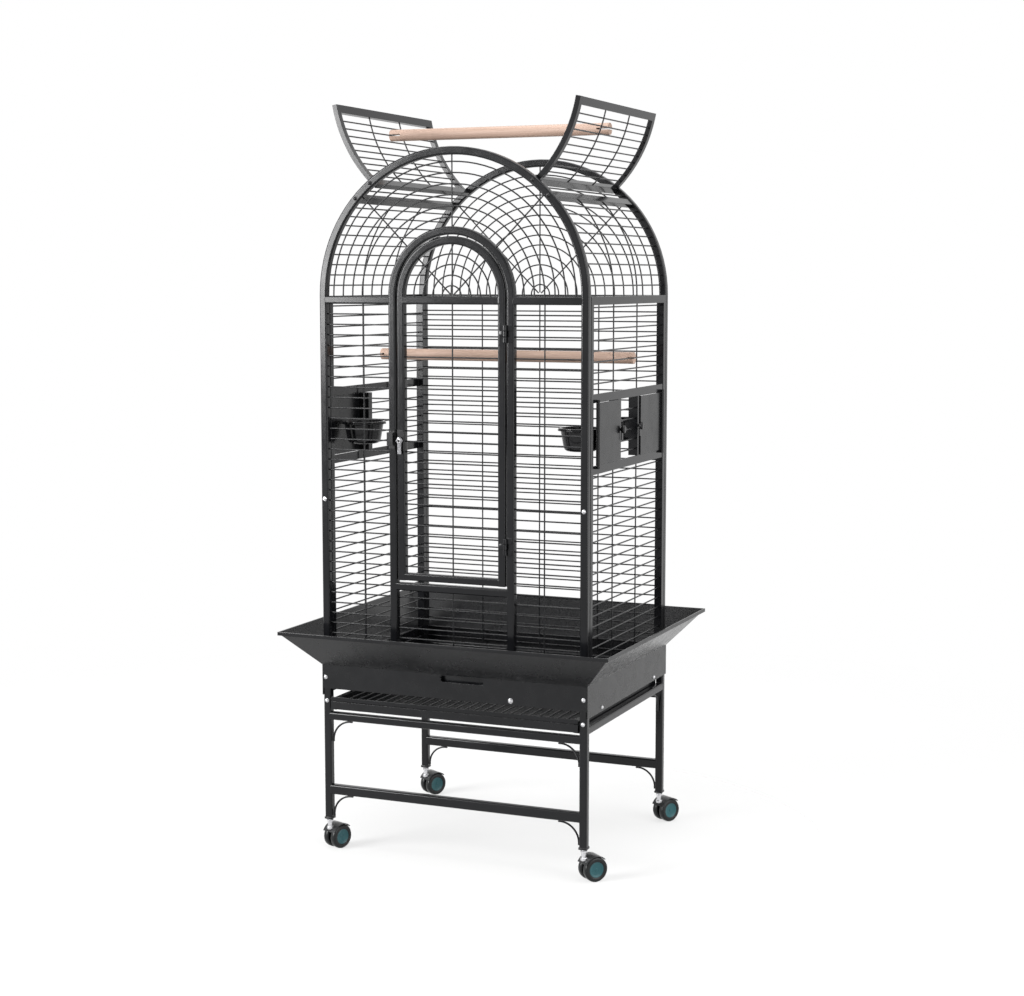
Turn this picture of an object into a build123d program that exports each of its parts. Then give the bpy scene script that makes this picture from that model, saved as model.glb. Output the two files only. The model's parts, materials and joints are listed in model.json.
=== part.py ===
"""Bird cage on a caster stand: arched wire cage, open roof flaps with a play perch, swing-out feeders,
flared seed guard, slide-out grate and tray. Millimetres, X to the right, front towards -Y, Z up."""

from build123d import *
import math
import os

os.makedirs("parts", exist_ok=True)

# Driving dimensions of the cage
WIDTH = 580
DEPTH = 476
TUBE = 16
WIRE = 3
PITCH = 21
POST_TALL = 800
WELD = 0.05

# Driving dimensions of the stand and the base
STAND_TOP = 345
STAND_TUBE = 16
LEG_FOOT = 66
SHEET = 1.5
WALL_DROP = 17
FRONT_WALL_DROP = 3
WALL_RISE = 47
GUARD_RISE = 73
GUARD_FLARE = 68

# Faces round small turned pieces
SMALL_SIDES = 8

# Clearances between moving pieces
DOOR_GAP = 3
PIN_PLAY = 0.05
REST_PLAY = 0.3

# Outer half sizes and the planes that the wires lie in
HALF_W = WIDTH / 2
HALF_D = DEPTH / 2
INNER_W = HALF_W - TUBE
INNER_D = HALF_D - TUBE
WIRE_X = HALF_W - TUBE / 2
WIRE_Y = HALF_D - TUBE / 2
LAYER = WIRE + WELD

# Heights that follow the top of the stand
POST_FOOT = STAND_TOP
SPRING = POST_FOOT + POST_TALL
WALL_FOOT = POST_FOOT - WALL_DROP
FRONT_WALL_FOOT = POST_FOOT - FRONT_WALL_DROP
BEND = POST_FOOT + WALL_RISE
GUARD_TOP = BEND + GUARD_RISE

# Rails across the panels, and the doorway
FOOT_RAIL_TALL = 15
SILL_RISE = 227
JAMB_HALF = 136
DOOR_LIFT = 5
BAR_TOP = SPRING
BAR_FOOT = BAR_TOP - TUBE
FOOT_RAIL_TOP = POST_FOOT + FOOT_RAIL_TALL
SILL_TOP = POST_FOOT + SILL_RISE
SILL_FOOT = SILL_TOP - TUBE
JAMB_INNER = JAMB_HALF - TUBE
DOOR_HALF = JAMB_INNER - DOOR_GAP
DOOR_INNER = DOOR_HALF - TUBE
DOOR_FOOT = SILL_TOP + DOOR_LIFT
DOOR_RAIL_TOP = DOOR_FOOT + FOOT_RAIL_TALL

# Least room left between a wire and the rail beyond it
WIRE_ROOM = 8


def write(shape, name):
    shape.label = name
    export_step(shape, f"parts/{name}.step")


def mirrored(shape, about):
    with BuildPart() as copy:
        mirror(shape, about=about)
    return copy.part


def middle(low, high):
    return (low + high) / 2


def pin_bore(radius):
    """Corner radius of a faceted bore in which a pin of this radius turns freely."""
    return (radius + PIN_PLAY) / math.cos(math.pi / SMALL_SIDES)


def steps(start, stop, pitch):
    """Evenly spaced places from start, as many as lie up to stop."""
    return [start + pitch * i for i in range(int((stop - start) / pitch) + 1)]


def arched_outline(half, foot, tube):
    """An upright frame with a half-round head, drawn in the running sketch."""
    with Locations((0, SPRING)):
        Circle(half)
    with Locations((0, middle(foot, SPRING))):
        Rectangle(2 * half, SPRING - foot)
    with Locations((0, SPRING)):
        Circle(half - tube, mode=Mode.SUBTRACT)
    with Locations((0, middle(foot, SPRING))):
        Rectangle(2 * (half - tube), SPRING - foot, mode=Mode.SUBTRACT)


def ring_points(centre, inner, outer, start, stop, facets):
    """Corners of a faceted stretch of ring, along its outside and back along its inside."""
    turns = [math.radians(start + (stop - start) * i / facets) for i in range(facets + 1)]
    path = [(outer, turn) for turn in turns] + [(inner, turn) for turn in reversed(turns)]
    return [(centre[0] + r * math.cos(turn), centre[1] + r * math.sin(turn)) for r, turn in path]


def fan_outline(radii):
    """Half-round wires standing on the cross rail, drawn in the running sketch."""
    for radius in radii:
        facets = 5 + int(radius / 36)
        Polygon(*ring_points((0, SPRING), radius - WIRE / 2, radius + WIRE / 2, 0, 180, facets), align=None)


def spokes(inner, outer, y):
    """Three straight wires behind a fan, at 45, 90 and 135 degrees."""
    for angle in (45, 90, 135):
        reach = middle(inner, outer)
        turn = math.radians(angle)
        place = Location((reach * math.cos(turn), y, SPRING + reach * math.sin(turn)), (0, -angle, 0))
        with Locations(place):
            Box(outer - inner, WIRE, WIRE)


# Stand: two leg frames with a side rail each, and rails across front and rear
LEG_X = HALF_W - STAND_TUBE / 2
LEG_Y = HALF_D - STAND_TUBE / 2
LEG_IN_X = HALF_W - STAND_TUBE
LEG_IN_Y = HALF_D - STAND_TUBE
SIDE_RAIL_DROP = 51
UPPER_RAIL_DROP = 18
LOWER_RAIL_RISE = 53
LOWER_RAIL_TALL = 20
STEM_R = 4
STEM_DEEP = 28
STEM_ROOM = 2
SIDE_RAIL_FOOT = POST_FOOT - SIDE_RAIL_DROP
UPPER_RAIL_FOOT = SIDE_RAIL_FOOT - UPPER_RAIL_DROP
LOWER_RAIL_FOOT = LEG_FOOT + LOWER_RAIL_RISE

with BuildPart() as stand_right:
    with BuildSketch(Plane.YZ.offset(LEG_IN_X)):
        with Locations((-LEG_Y, middle(LEG_FOOT, POST_FOOT)), (LEG_Y, middle(LEG_FOOT, POST_FOOT))):
            Rectangle(STAND_TUBE, POST_FOOT - LEG_FOOT)
        with Locations((0, SIDE_RAIL_FOOT + STAND_TUBE / 2)):
            Rectangle(2 * LEG_IN_Y, STAND_TUBE)
    extrude(amount=STAND_TUBE)
    with BuildSketch(Plane.XY.offset(LEG_FOOT)):
        with Locations((LEG_X, -LEG_Y), (LEG_X, LEG_Y)):
            RegularPolygon(pin_bore(STEM_R), SMALL_SIDES)
    extrude(amount=STEM_DEEP + STEM_ROOM, mode=Mode.SUBTRACT)
write(stand_right.part, "stand_right")
write(mirrored(stand_right.part, Plane.YZ), "stand_left")

with BuildPart() as stand_rails:
    upper = UPPER_RAIL_FOOT + STAND_TUBE / 2
    with Locations((0, -LEG_Y, upper), (0, LEG_Y, upper)):
        Box(2 * LEG_IN_X, STAND_TUBE, STAND_TUBE)
    lower = LOWER_RAIL_FOOT + LOWER_RAIL_TALL / 2
    with Locations((0, -LEG_Y, lower), (0, LEG_Y, lower)):
        Box(2 * LEG_IN_X, STAND_TUBE, LOWER_RAIL_TALL)
write(stand_rails.part, "stand_rails")

# Quarter-round wire gussets in the corners under the rails
GUSSET_R = 46
GUSSET_WIRE = 4


def corner_gusset(across, under):
    """A quarter ring from a leg's inner face at across up to a rail's underside."""
    side = math.copysign(1, across)
    centre = (across - side * GUSSET_R, under - GUSSET_R)
    first = 0 if side > 0 else 90
    Polygon(*ring_points(centre, GUSSET_R - GUSSET_WIRE, GUSSET_R, first, first + 90, 5), align=None)


with BuildPart() as stand_gussets:
    for y, under in ((-LEG_Y, UPPER_RAIL_FOOT), (-LEG_Y, LOWER_RAIL_FOOT), (LEG_Y, LOWER_RAIL_FOOT)):
        for across in (-LEG_IN_X, LEG_IN_X):
            with BuildSketch(Plane.XZ.offset(-y + GUSSET_WIRE / 2)):
                corner_gusset(across, under)
            extrude(amount=-GUSSET_WIRE)
    for x in (-LEG_X, LEG_X):
        with BuildSketch(Plane.YZ.offset(x - GUSSET_WIRE / 2)):
            corner_gusset(LEG_IN_Y, SIDE_RAIL_FOOT)
        extrude(amount=GUSSET_WIRE)
write(stand_gussets.part, "stand_gussets")

# Casters: a hood with a stem that swivels in the leg, and a pair of wheels on an axle
WHEEL_R = 25
WHEEL_WIDE = 14
WEB = 6
WEB_PLAY = 0.6
HOOD_PLAY = 0.5
HOOD_SHEET = 2
HOOD_FACETS = 6
HOOD_FROM = 45
HOOD_TO = 155
TRAIL = 20
AXLE_R = 3
HUB_R = AXLE_R + 6
NECK_R = 7
NECK_GAP = 3
NECK_RISE = 20
WHEEL_SIDES = 20
HOOD_WIDE = 2 * WHEEL_WIDE + WEB + 2
WEB_WIDE = WEB - 2 * WEB_PLAY
NECK_TOP = LEG_FOOT - NECK_GAP
CASTER_TURN = {"fl": -20, "fr": -40, "rl": -30, "rr": -30}

hub = (TRAIL, WHEEL_R)
hood_inner = (WHEEL_R + HOOD_PLAY) / math.cos(math.radians((HOOD_TO - HOOD_FROM) / HOOD_FACETS / 2))
hood_ring = ring_points(hub, hood_inner, hood_inner + HOOD_SHEET, HOOD_FROM, HOOD_TO, HOOD_FACETS)
hood_room = [hub] + hood_ring[HOOD_FACETS + 1:]

with BuildPart() as hood_master:
    with BuildSketch(Plane.YZ.offset(-HOOD_WIDE / 2)):
        Polygon(*hood_ring, align=None)
    extrude(amount=HOOD_WIDE)
    with BuildSketch(Plane.XY.offset(WHEEL_R + NECK_RISE)):
        RegularPolygon(NECK_R, SMALL_SIDES)
    extrude(amount=NECK_TOP - WHEEL_R - NECK_RISE)
    with BuildSketch(Plane.YZ.offset(-HOOD_WIDE)):
        Polygon(*hood_room, align=None)
    extrude(amount=2 * HOOD_WIDE, mode=Mode.SUBTRACT)
    with BuildSketch(Plane.YZ.offset(-WEB_WIDE / 2)):
        Polygon(*hood_room, align=None)
        with Locations(hub):
            RegularPolygon(HUB_R, SMALL_SIDES)
            RegularPolygon(pin_bore(AXLE_R), SMALL_SIDES, mode=Mode.SUBTRACT)
    extrude(amount=WEB_WIDE)
    with BuildSketch(Plane.XY.offset(NECK_TOP)):
        RegularPolygon(STEM_R, SMALL_SIDES)
    extrude(amount=STEM_DEEP)

with BuildPart() as wheels_master:
    with BuildSketch(Plane.YZ.offset(-WEB / 2 - WHEEL_WIDE)):
        with Locations(hub):
            RegularPolygon(WHEEL_R, WHEEL_SIDES)
    extrude(amount=WHEEL_WIDE)
    with BuildSketch(Plane.YZ.offset(WEB / 2)):
        with Locations(hub):
            RegularPolygon(WHEEL_R, WHEEL_SIDES)
    extrude(amount=WHEEL_WIDE)
    with BuildSketch(Plane.YZ.offset(-WEB / 2 + WELD)):
        with Locations(hub):
            RegularPolygon(AXLE_R, SMALL_SIDES)
    extrude(amount=WEB - 2 * WELD)

for spot, turn in CASTER_TURN.items():
    x = LEG_X if spot[1] == "r" else -LEG_X
    y = LEG_Y if spot[0] == "r" else -LEG_Y
    with BuildPart() as hood:
        with Locations(Location((x, y, 0), (0, 0, turn))):
            add(hood_master.part)
    write(hood.part, f"caster_hood_{spot}")
    with BuildPart() as wheels:
        with Locations(Location((x, y, 0), (0, 0, turn))):
            add(wheels_master.part)
    write(wheels.part, f"caster_wheels_{spot}")

# Base: four folded sheets, each an upright wall with a flared seed guard and a turned-down lip
LIP = 7


def folded_section(foot):
    """Wall, flare and lip, as outward offset from the cage's outer face against height."""
    return [
        (0, foot),
        (0, BEND),
        (GUARD_FLARE - 2 * SHEET, GUARD_TOP),
        (GUARD_FLARE, GUARD_TOP),
        (GUARD_FLARE, GUARD_TOP - LIP),
        (GUARD_FLARE - SHEET, GUARD_TOP - LIP),
        (GUARD_FLARE - SHEET, GUARD_TOP - 2 * SHEET),
        (SHEET, BEND - SHEET / 2),
        (SHEET, foot),
    ]


def mitre(corner, normal):
    split(bisect_by=Plane(origin=corner, z_dir=normal), keep=Keep.BOTTOM)


SLOT_WIDE = 95
SLOT_TALL = 13
SLOT_X = 23
SLOT_DROP = 2

with BuildPart() as base_front:
    with BuildSketch(Plane.YZ.offset(-HALF_W - GUARD_FLARE)):
        with BuildLine():
            Polyline([(-HALF_D - out, z) for out, z in folded_section(FRONT_WALL_FOOT)], close=True)
        make_face()
    extrude(amount=2 * (HALF_W + GUARD_FLARE))
    mitre((HALF_W - WELD, -HALF_D, 0), (1, 1, 0))
    mitre((-HALF_W + WELD, -HALF_D, 0), (-1, 1, 0))
    with BuildSketch(Plane.XZ.offset(HALF_D - 1)):
        with Locations((SLOT_X, BEND - SLOT_TALL / 2 - SLOT_DROP)):
            RectangleRounded(SLOT_WIDE, SLOT_TALL, SLOT_TALL / 2 - 1)
    extrude(amount=2 + SHEET, mode=Mode.SUBTRACT)
write(base_front.part, "base_front")

with BuildPart() as base_rear:
    with BuildSketch(Plane.YZ.offset(-HALF_W - GUARD_FLARE)):
        with BuildLine():
            Polyline([(HALF_D + out, z) for out, z in folded_section(WALL_FOOT)], close=True)
        make_face()
    extrude(amount=2 * (HALF_W + GUARD_FLARE))
    mitre((HALF_W - WELD, HALF_D, 0), (1, -1, 0))
    mitre((-HALF_W + WELD, HALF_D, 0), (-1, -1, 0))
write(base_rear.part, "base_rear")

with BuildPart() as base_right:
    with BuildSketch(Plane.XZ.offset(HALF_D + GUARD_FLARE)):
        with BuildLine():
            Polyline([(HALF_W + out, z) for out, z in folded_section(WALL_FOOT)], close=True)
        make_face()
    extrude(amount=-2 * (HALF_D + GUARD_FLARE))
    mitre((HALF_W, -HALF_D + WELD, 0), (-1, -1, 0))
    mitre((HALF_W, HALF_D - WELD, 0), (-1, 1, 0))
write(base_right.part, "base_right")
write(mirrored(base_right.part, Plane.YZ), "base_left")

# Slide-out floor: runners on the leg frames, a tray on the lower ledge and a grate on the upper one
RUNNER_DEEP = 10.5
RUNNER_INSET = 2
TRAY_RISE = 5.4
GRATE_RISE = 16.5
GRATE_GUIDE = 2
TRAY_SEAT = SIDE_RAIL_FOOT + TRAY_RISE
GRATE_SEAT = TRAY_SEAT + GRATE_RISE
RUNNER_WEB = LEG_IN_X - SHEET
RUNNER_FOOT = TRAY_SEAT - SHEET
RUNNER_TOP = GRATE_SEAT + GRATE_GUIDE
RUNNER_LONG = HALF_D - RUNNER_INSET + LEG_IN_Y

with BuildPart() as runner_right:
    with BuildSketch(Plane.XZ.offset(HALF_D - RUNNER_INSET)):
        with Locations((middle(RUNNER_WEB, LEG_IN_X), middle(RUNNER_FOOT, RUNNER_TOP))):
            Rectangle(SHEET, RUNNER_TOP - RUNNER_FOOT)
        ledge_x = RUNNER_WEB - RUNNER_DEEP / 2
        with Locations((ledge_x, TRAY_SEAT - SHEET / 2), (ledge_x, GRATE_SEAT - SHEET / 2)):
            Rectangle(RUNNER_DEEP, SHEET)
    extrude(amount=-RUNNER_LONG)

with BuildPart() as tray_runners:
    add(runner_right.part)
    mirror(runner_right.part, about=Plane.YZ)
write(tray_runners.part, "tray_runners")

TRAY_SIDE_PLAY = 2
TRAY_TALL = 13
TRAY_LIP_TALL = 16
TRAY_PROUD = 0.5
TRAY_BACK_ROOM = 6
TRAY_HALF = RUNNER_WEB - TRAY_SIDE_PLAY
TRAY_FRONT = -HALF_D - TRAY_PROUD
TRAY_BACK = LEG_IN_Y - TRAY_BACK_ROOM
TRAY_LONG = TRAY_BACK - TRAY_FRONT
TRAY_FOOT = TRAY_SEAT + REST_PLAY
LIP_HALF = LEG_IN_X - TRAY_SIDE_PLAY

with BuildPart() as tray:
    with BuildSketch(Plane.XY.offset(TRAY_FOOT)):
        with Locations((0, middle(TRAY_FRONT, TRAY_BACK))):
            Rectangle(2 * TRAY_HALF, TRAY_LONG)
    extrude(amount=TRAY_TALL)
    with BuildSketch(Plane.XY.offset(TRAY_FOOT + SHEET)):
        with Locations((0, middle(TRAY_FRONT, TRAY_BACK))):
            Rectangle(2 * (TRAY_HALF - SHEET), TRAY_LONG - 2 * SHEET)
    extrude(amount=TRAY_TALL, mode=Mode.SUBTRACT)
    with BuildSketch(Plane.XZ.offset(-TRAY_FRONT)):
        with Locations((0, TRAY_FOOT + TRAY_LIP_TALL / 2)):
            Rectangle(2 * LIP_HALF, TRAY_LIP_TALL)
    extrude(amount=SHEET)
write(tray.part, "tray")

GRATE_FOOT = GRATE_SEAT + REST_PLAY
GRATE_BAR = 6
GRATE_SIDE_PLAY = 3
GRATE_SIDE = 10
GRATE_PITCH = 20
GRATE_LIP_RISE = 3
GRATE_LIP_LIFT = 1.5
GRATE_HALF = RUNNER_WEB - GRATE_SIDE_PLAY
GRATE_LIP_FOOT = GRATE_FOOT + GRATE_LIP_LIFT
GRATE_LIP_TOP = GRATE_FOOT + GRATE_BAR + GRATE_LIP_RISE

with BuildPart() as grate_frame:
    with BuildSketch(Plane.XY.offset(GRATE_FOOT)):
        with Locations((0, middle(TRAY_FRONT, TRAY_BACK))):
            Rectangle(2 * GRATE_HALF, TRAY_LONG)
            Rectangle(2 * (GRATE_HALF - GRATE_SIDE), TRAY_LONG - 2 * GRATE_SIDE, mode=Mode.SUBTRACT)
    extrude(amount=GRATE_BAR)
    with BuildSketch(Plane.XZ.offset(-TRAY_FRONT)):
        with Locations((0, middle(GRATE_LIP_FOOT, GRATE_LIP_TOP))):
            Rectangle(2 * LIP_HALF, GRATE_LIP_TOP - GRATE_LIP_FOOT)
    extrude(amount=SHEET)
write(grate_frame.part, "grate_frame")

grate_half = GRATE_PITCH * int((GRATE_HALF - GRATE_SIDE - WIRE) / GRATE_PITCH)
grate_x = steps(-grate_half, grate_half, GRATE_PITCH)
grate_mid = (0, middle(TRAY_FRONT, TRAY_BACK), GRATE_FOOT + GRATE_BAR / 2)
with BuildPart() as grate_wires:
    with Locations(*[(x, grate_mid[1], grate_mid[2]) for x in grate_x]):
        Box(WIRE, TRAY_LONG - 2 * GRATE_SIDE, WIRE)
write(grate_wires.part, "grate_wires")

# Cage front: arched frame, arched door jamb with hinge knuckles, rails and wires
HINGE_X = middle(DOOR_HALF, JAMB_INNER)
HINGE_R = 4
HINGE_PLAY = 0.2
HINGE_Y = -HALF_D - HINGE_R - HINGE_PLAY
HINGE_PIN_R = 2
HINGE_HALF = 17
KNUCKLE_HALF = 5.7
HINGE_FOOT_RISE = 80
HINGE_HEAD_DROP = 56
HINGE_HEIGHTS = (DOOR_FOOT + HINGE_FOOT_RISE, BAR_FOOT - HINGE_HEAD_DROP)
LEAF = 2
LEAF_WIDE = 12

with BuildPart() as front_arch:
    with BuildSketch(Plane.XZ.offset(HALF_D)):
        arched_outline(HALF_W, POST_FOOT, TUBE)
    extrude(amount=-TUBE)
write(front_arch.part, "front_arch")
write(mirrored(front_arch.part, Plane.XZ), "rear_arch")

with BuildPart() as door_jamb:
    with BuildSketch(Plane.XZ.offset(HALF_D)):
        arched_outline(JAMB_HALF, POST_FOOT, TUBE)
    extrude(amount=-TUBE)
    for height in HINGE_HEIGHTS:
        for foot in (height - HINGE_HALF, height + KNUCKLE_HALF + REST_PLAY):
            tall = HINGE_HALF - KNUCKLE_HALF - REST_PLAY
            with BuildSketch(Plane.XY.offset(foot)):
                with Locations((HINGE_X, HINGE_Y)):
                    RegularPolygon(HINGE_R, SMALL_SIDES)
                with Locations((JAMB_INNER + LEAF_WIDE / 2, -HALF_D - LEAF / 2)):
                    Rectangle(LEAF_WIDE, LEAF)
            extrude(amount=tall)
        with BuildSketch(Plane.XY.offset(height - HINGE_HALF)):
            with Locations((HINGE_X, HINGE_Y)):
                RegularPolygon(HINGE_PIN_R, SMALL_SIDES)
        extrude(amount=2 * HINGE_HALF)
write(door_jamb.part, "door_jamb")

front_mid = -HALF_D + TUBE / 2
side_x = middle(JAMB_HALF, INNER_W)
side_wide = INNER_W - JAMB_HALF
foot_mid = middle(POST_FOOT, FOOT_RAIL_TOP)
foot_tall = FOOT_RAIL_TOP - POST_FOOT

with BuildPart() as front_rails:
    with Locations(*[(side * side_x, front_mid, middle(BAR_FOOT, BAR_TOP)) for side in (-1, 1)]):
        Box(side_wide, TUBE, TUBE)
    with Locations((-side_x, front_mid, foot_mid), (side_x, front_mid, foot_mid)):
        Box(side_wide, TUBE, foot_tall)
    with Locations((0, front_mid, middle(SILL_FOOT, SILL_TOP))):
        Box(2 * JAMB_INNER, TUBE, TUBE)
    with Locations((0, front_mid, foot_mid)):
        Box(2 * JAMB_INNER, TUBE, foot_tall)
write(front_rails.part, "front_rails")

WIRE_RISE = 14
UPRIGHT_SHIFT = 9
FAN_MARGIN = 13
FAN_PITCH = 21.4
SPOKE_FOOT = 5
FIRST_WIRE = FOOT_RAIL_TOP + WIRE_RISE
panel_heights = steps(FIRST_WIRE, BAR_FOOT - WIRE_ROOM, PITCH)
sill_heights = steps(FIRST_WIRE, SILL_FOOT - WIRE_ROOM, PITCH)
front_rings = int((INNER_W - FAN_MARGIN - JAMB_HALF - WIRE) / FAN_PITCH) + 1
front_fan = [INNER_W - FAN_MARGIN - FAN_PITCH * i for i in range(front_rings)]

with BuildPart() as front_wires:
    with Locations(*[(side * side_x, -WIRE_Y, z) for side in (-1, 1) for z in panel_heights]):
        Box(side_wide, WIRE, WIRE)
    with Locations(*[(0, -WIRE_Y, z) for z in sill_heights]):
        Box(2 * JAMB_INNER, WIRE, WIRE)
    upright = middle(FOOT_RAIL_TOP, BAR_FOOT)
    upright_x = side_x - UPRIGHT_SHIFT
    with Locations((-upright_x, -WIRE_Y + LAYER, upright), (upright_x, -WIRE_Y + LAYER, upright)):
        Box(WIRE, WIRE, BAR_FOOT - FOOT_RAIL_TOP)
    with Locations((0, -WIRE_Y + LAYER, middle(FOOT_RAIL_TOP, SILL_FOOT))):
        Box(WIRE, WIRE, SILL_FOOT - FOOT_RAIL_TOP)
write(front_wires.part, "front_wires")

with BuildPart() as fan_wires:
    with BuildSketch(Plane.XZ.offset(WIRE_Y + WIRE / 2)):
        fan_outline(front_fan)
    extrude(amount=-WIRE)
    spokes(JAMB_HALF + 2 * WELD, INNER_W - 2 * WELD, -WIRE_Y + LAYER)
write(fan_wires.part, "front_fan")

# Cage rear: rails, full-width wires and a full fan
with BuildPart() as rear_rails:
    with Locations((0, -front_mid, middle(BAR_FOOT, BAR_TOP))):
        Box(2 * INNER_W, TUBE, TUBE)
    with Locations((0, -front_mid, foot_mid)):
        Box(2 * INNER_W, TUBE, foot_tall)
write(rear_rails.part, "rear_rails")

rear_rings = int((INNER_W - WIRE) / FAN_PITCH)

with BuildPart() as rear_wires:
    with Locations(*[(0, WIRE_Y, z) for z in panel_heights]):
        Box(2 * INNER_W, WIRE, WIRE)
    with Locations(*[(INNER_W / 2 * i, WIRE_Y - LAYER, upright) for i in (-1, 0, 1)]):
        Box(WIRE, WIRE, BAR_FOOT - FOOT_RAIL_TOP)
write(rear_wires.part, "rear_wires")

with BuildPart() as rear_fan:
    with BuildSketch(Plane.XZ.offset(-WIRE_Y + WIRE / 2)):
        fan_outline([FAN_PITCH * (i + 1) for i in range(rear_rings)])
    extrude(amount=-WIRE)
    spokes(SPOKE_FOOT, INNER_W - 2 * WELD, WIRE_Y - LAYER)
write(rear_fan.part, "rear_fan")

# Cage sides: a frame between the posts, with two bars, and uprights beside the feeder hatches
SIDE_BAR = 13
BAND_RISE = 457
BAND_TALL = 156
BAND_BAR = 17
BAND_THICK = 3
BAND_INSET = 1
HATCH_WIDE = 127
HINGE_INSET = 16
UPRIGHT_WIDE = 16
UPRIGHT_DEEP = 20
FEEDER_PLATE = 2
FEEDER_LAP = 3
FEEDER_HINGE_R = 3.5
FEEDER_PIN_R = 2
LUG_TALL = 6
LUG_GAP = 0.5
KNOB_R = 8
KNOB_PIN_R = 3
KNOB_PLAY = 0.5
KNOB_TALL = 8
KNOB_CAP = 2
SIDE_IN = INNER_D - SIDE_BAR
BAND_FOOT = POST_FOOT + BAND_RISE
BAND_TOP = BAND_FOOT + BAND_TALL
BAND_FACE = HALF_W - BAND_INSET
HATCH_FOOT = BAND_FOOT + BAND_BAR
HATCH_TOP = BAND_TOP - BAND_BAR
HATCH_MID = middle(HATCH_FOOT, HATCH_TOP)
FEEDER_X = BAND_FACE + REST_PLAY
FEEDER_AXIS_X = HALF_W + FEEDER_HINGE_R + REST_PLAY
FEEDER_AXIS_Y = SIDE_IN - HINGE_INSET
HATCH_NEAR = FEEDER_AXIS_Y - HATCH_WIDE
WINDOW_HALF = HATCH_NEAR - UPRIGHT_WIDE
FEEDER_EDGE = HATCH_NEAR - FEEDER_LAP
KNOB_Y = FEEDER_EDGE - KNOB_R - KNOB_PLAY
KNOB_FOOT = FEEDER_X + FEEDER_PLATE + KNOB_PLAY


def side_frame(ends):
    """The right-hand frame, with a feeder hatch towards the front (-1), the rear (1) or both."""
    with BuildPart() as frame:
        with BuildSketch(Plane.YZ.offset(INNER_W)):
            with Locations((0, middle(POST_FOOT, BAR_TOP))):
                Rectangle(2 * INNER_D, BAR_TOP - POST_FOOT)
            with Locations((0, middle(FOOT_RAIL_TOP, BAR_FOOT))):
                Rectangle(2 * SIDE_IN, BAR_FOOT - FOOT_RAIL_TOP, mode=Mode.SUBTRACT)
        extrude(amount=TUBE)
        with BuildSketch(Plane.YZ.offset(BAND_FACE - BAND_THICK)):
            with Locations((0, BAND_FOOT + BAND_BAR / 2), (0, BAND_TOP - BAND_BAR / 2)):
                Rectangle(2 * SIDE_IN, BAND_BAR)
        extrude(amount=BAND_THICK)
        for end in ends:
            with BuildSketch(Plane.YZ.offset(BAND_FACE - UPRIGHT_DEEP)):
                with Locations((end * middle(WINDOW_HALF, HATCH_NEAR), HATCH_MID)):
                    Rectangle(UPRIGHT_WIDE, HATCH_TOP - HATCH_FOOT)
            extrude(amount=UPRIGHT_DEEP)
            with BuildSketch(Plane.YZ.offset(BAND_FACE)):
                with Locations((end * KNOB_Y, HATCH_MID)):
                    RegularPolygon(KNOB_PIN_R, SMALL_SIDES)
            extrude(amount=KNOB_FOOT + KNOB_TALL - KNOB_CAP - BAND_FACE)
            for foot in (HATCH_FOOT - LUG_TALL, HATCH_TOP):
                with BuildSketch(Plane.XY.offset(foot)):
                    with Locations((FEEDER_AXIS_X, end * FEEDER_AXIS_Y)):
                        RegularPolygon(FEEDER_HINGE_R, SMALL_SIDES)
                    with Locations((middle(BAND_FACE, FEEDER_AXIS_X), end * FEEDER_AXIS_Y)):
                        Rectangle(FEEDER_AXIS_X - BAND_FACE, FEEDER_HINGE_R)
                extrude(amount=LUG_TALL)
            with BuildSketch(Plane.XY.offset(HATCH_FOOT)):
                with Locations((FEEDER_AXIS_X, end * FEEDER_AXIS_Y)):
                    RegularPolygon(FEEDER_PIN_R, SMALL_SIDES)
            extrude(amount=HATCH_TOP - HATCH_FOOT)
    return frame.part


write(side_frame((-1, 1)), "side_frame_right")
write(mirrored(side_frame((-1,)), Plane.YZ), "side_frame_left")

# Side wires bend into the roof; the roof side panel ends at a bar, with the flap's hinge rod above it
ROOF_R = HALF_W - TUBE / 2
ROOF_BAR_ANGLE = 43
ROOF_BAR_WIDE = 16
ROOF_BAR_THICK = 10
FLAP_HINGE_ANGLE = 52
HINGE_ROD_R = 3
UPRIGHT_ROOM = 2
PERCH_RISE = 61
SIDE_WIRE_Y = HATCH_NEAR + UPRIGHT_ROOM + WIRE / 2
PERCH_Z = BAND_TOP + PERCH_RISE
roof_step = math.degrees(PITCH / ROOF_R)
roof_last = ROOF_BAR_ANGLE - math.degrees(ROOF_BAR_WIDE / ROOF_R)
roof_angles = steps(roof_step, roof_last, roof_step) + [middle(ROOF_BAR_ANGLE, FLAP_HINGE_ANGLE)]
low_heights = steps(FIRST_WIRE, BAND_FOOT - WIRE_ROOM, PITCH)
window_heights = steps(HATCH_FOOT + WIRE_RISE, HATCH_TOP - WIRE_ROOM, PITCH)
high_first = PERCH_Z - PITCH * int((PERCH_RISE - WIRE) / PITCH)
high_heights = steps(high_first, BAR_FOOT - WIRE, PITCH)


def roof_spot(angle, radius=ROOF_R):
    turn = math.radians(angle)
    return Location((radius * math.cos(turn), 0, SPRING + radius * math.sin(turn)), (0, -angle, 0))


def side_wires(window_rear):
    """Wires of the right-hand side; between the bars they run from the front upright to window_rear."""
    with BuildPart() as wires:
        with Locations(*[(WIRE_X, 0, z) for z in low_heights + high_heights]):
            Box(WIRE, 2 * SIDE_IN, WIRE)
        with Locations(*[(WIRE_X, middle(-WINDOW_HALF, window_rear), z) for z in window_heights]):
            Box(WIRE, WINDOW_HALF + window_rear, WIRE)
        with Locations(*[(WIRE_X - LAYER, side * SIDE_WIRE_Y, upright) for side in (-1, 1)]):
            Box(WIRE, WIRE, BAR_FOOT - FOOT_RAIL_TOP)
        with Locations(*[roof_spot(angle) for angle in roof_angles]):
            Box(WIRE, 2 * INNER_D, WIRE)
    return wires.part


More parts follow.
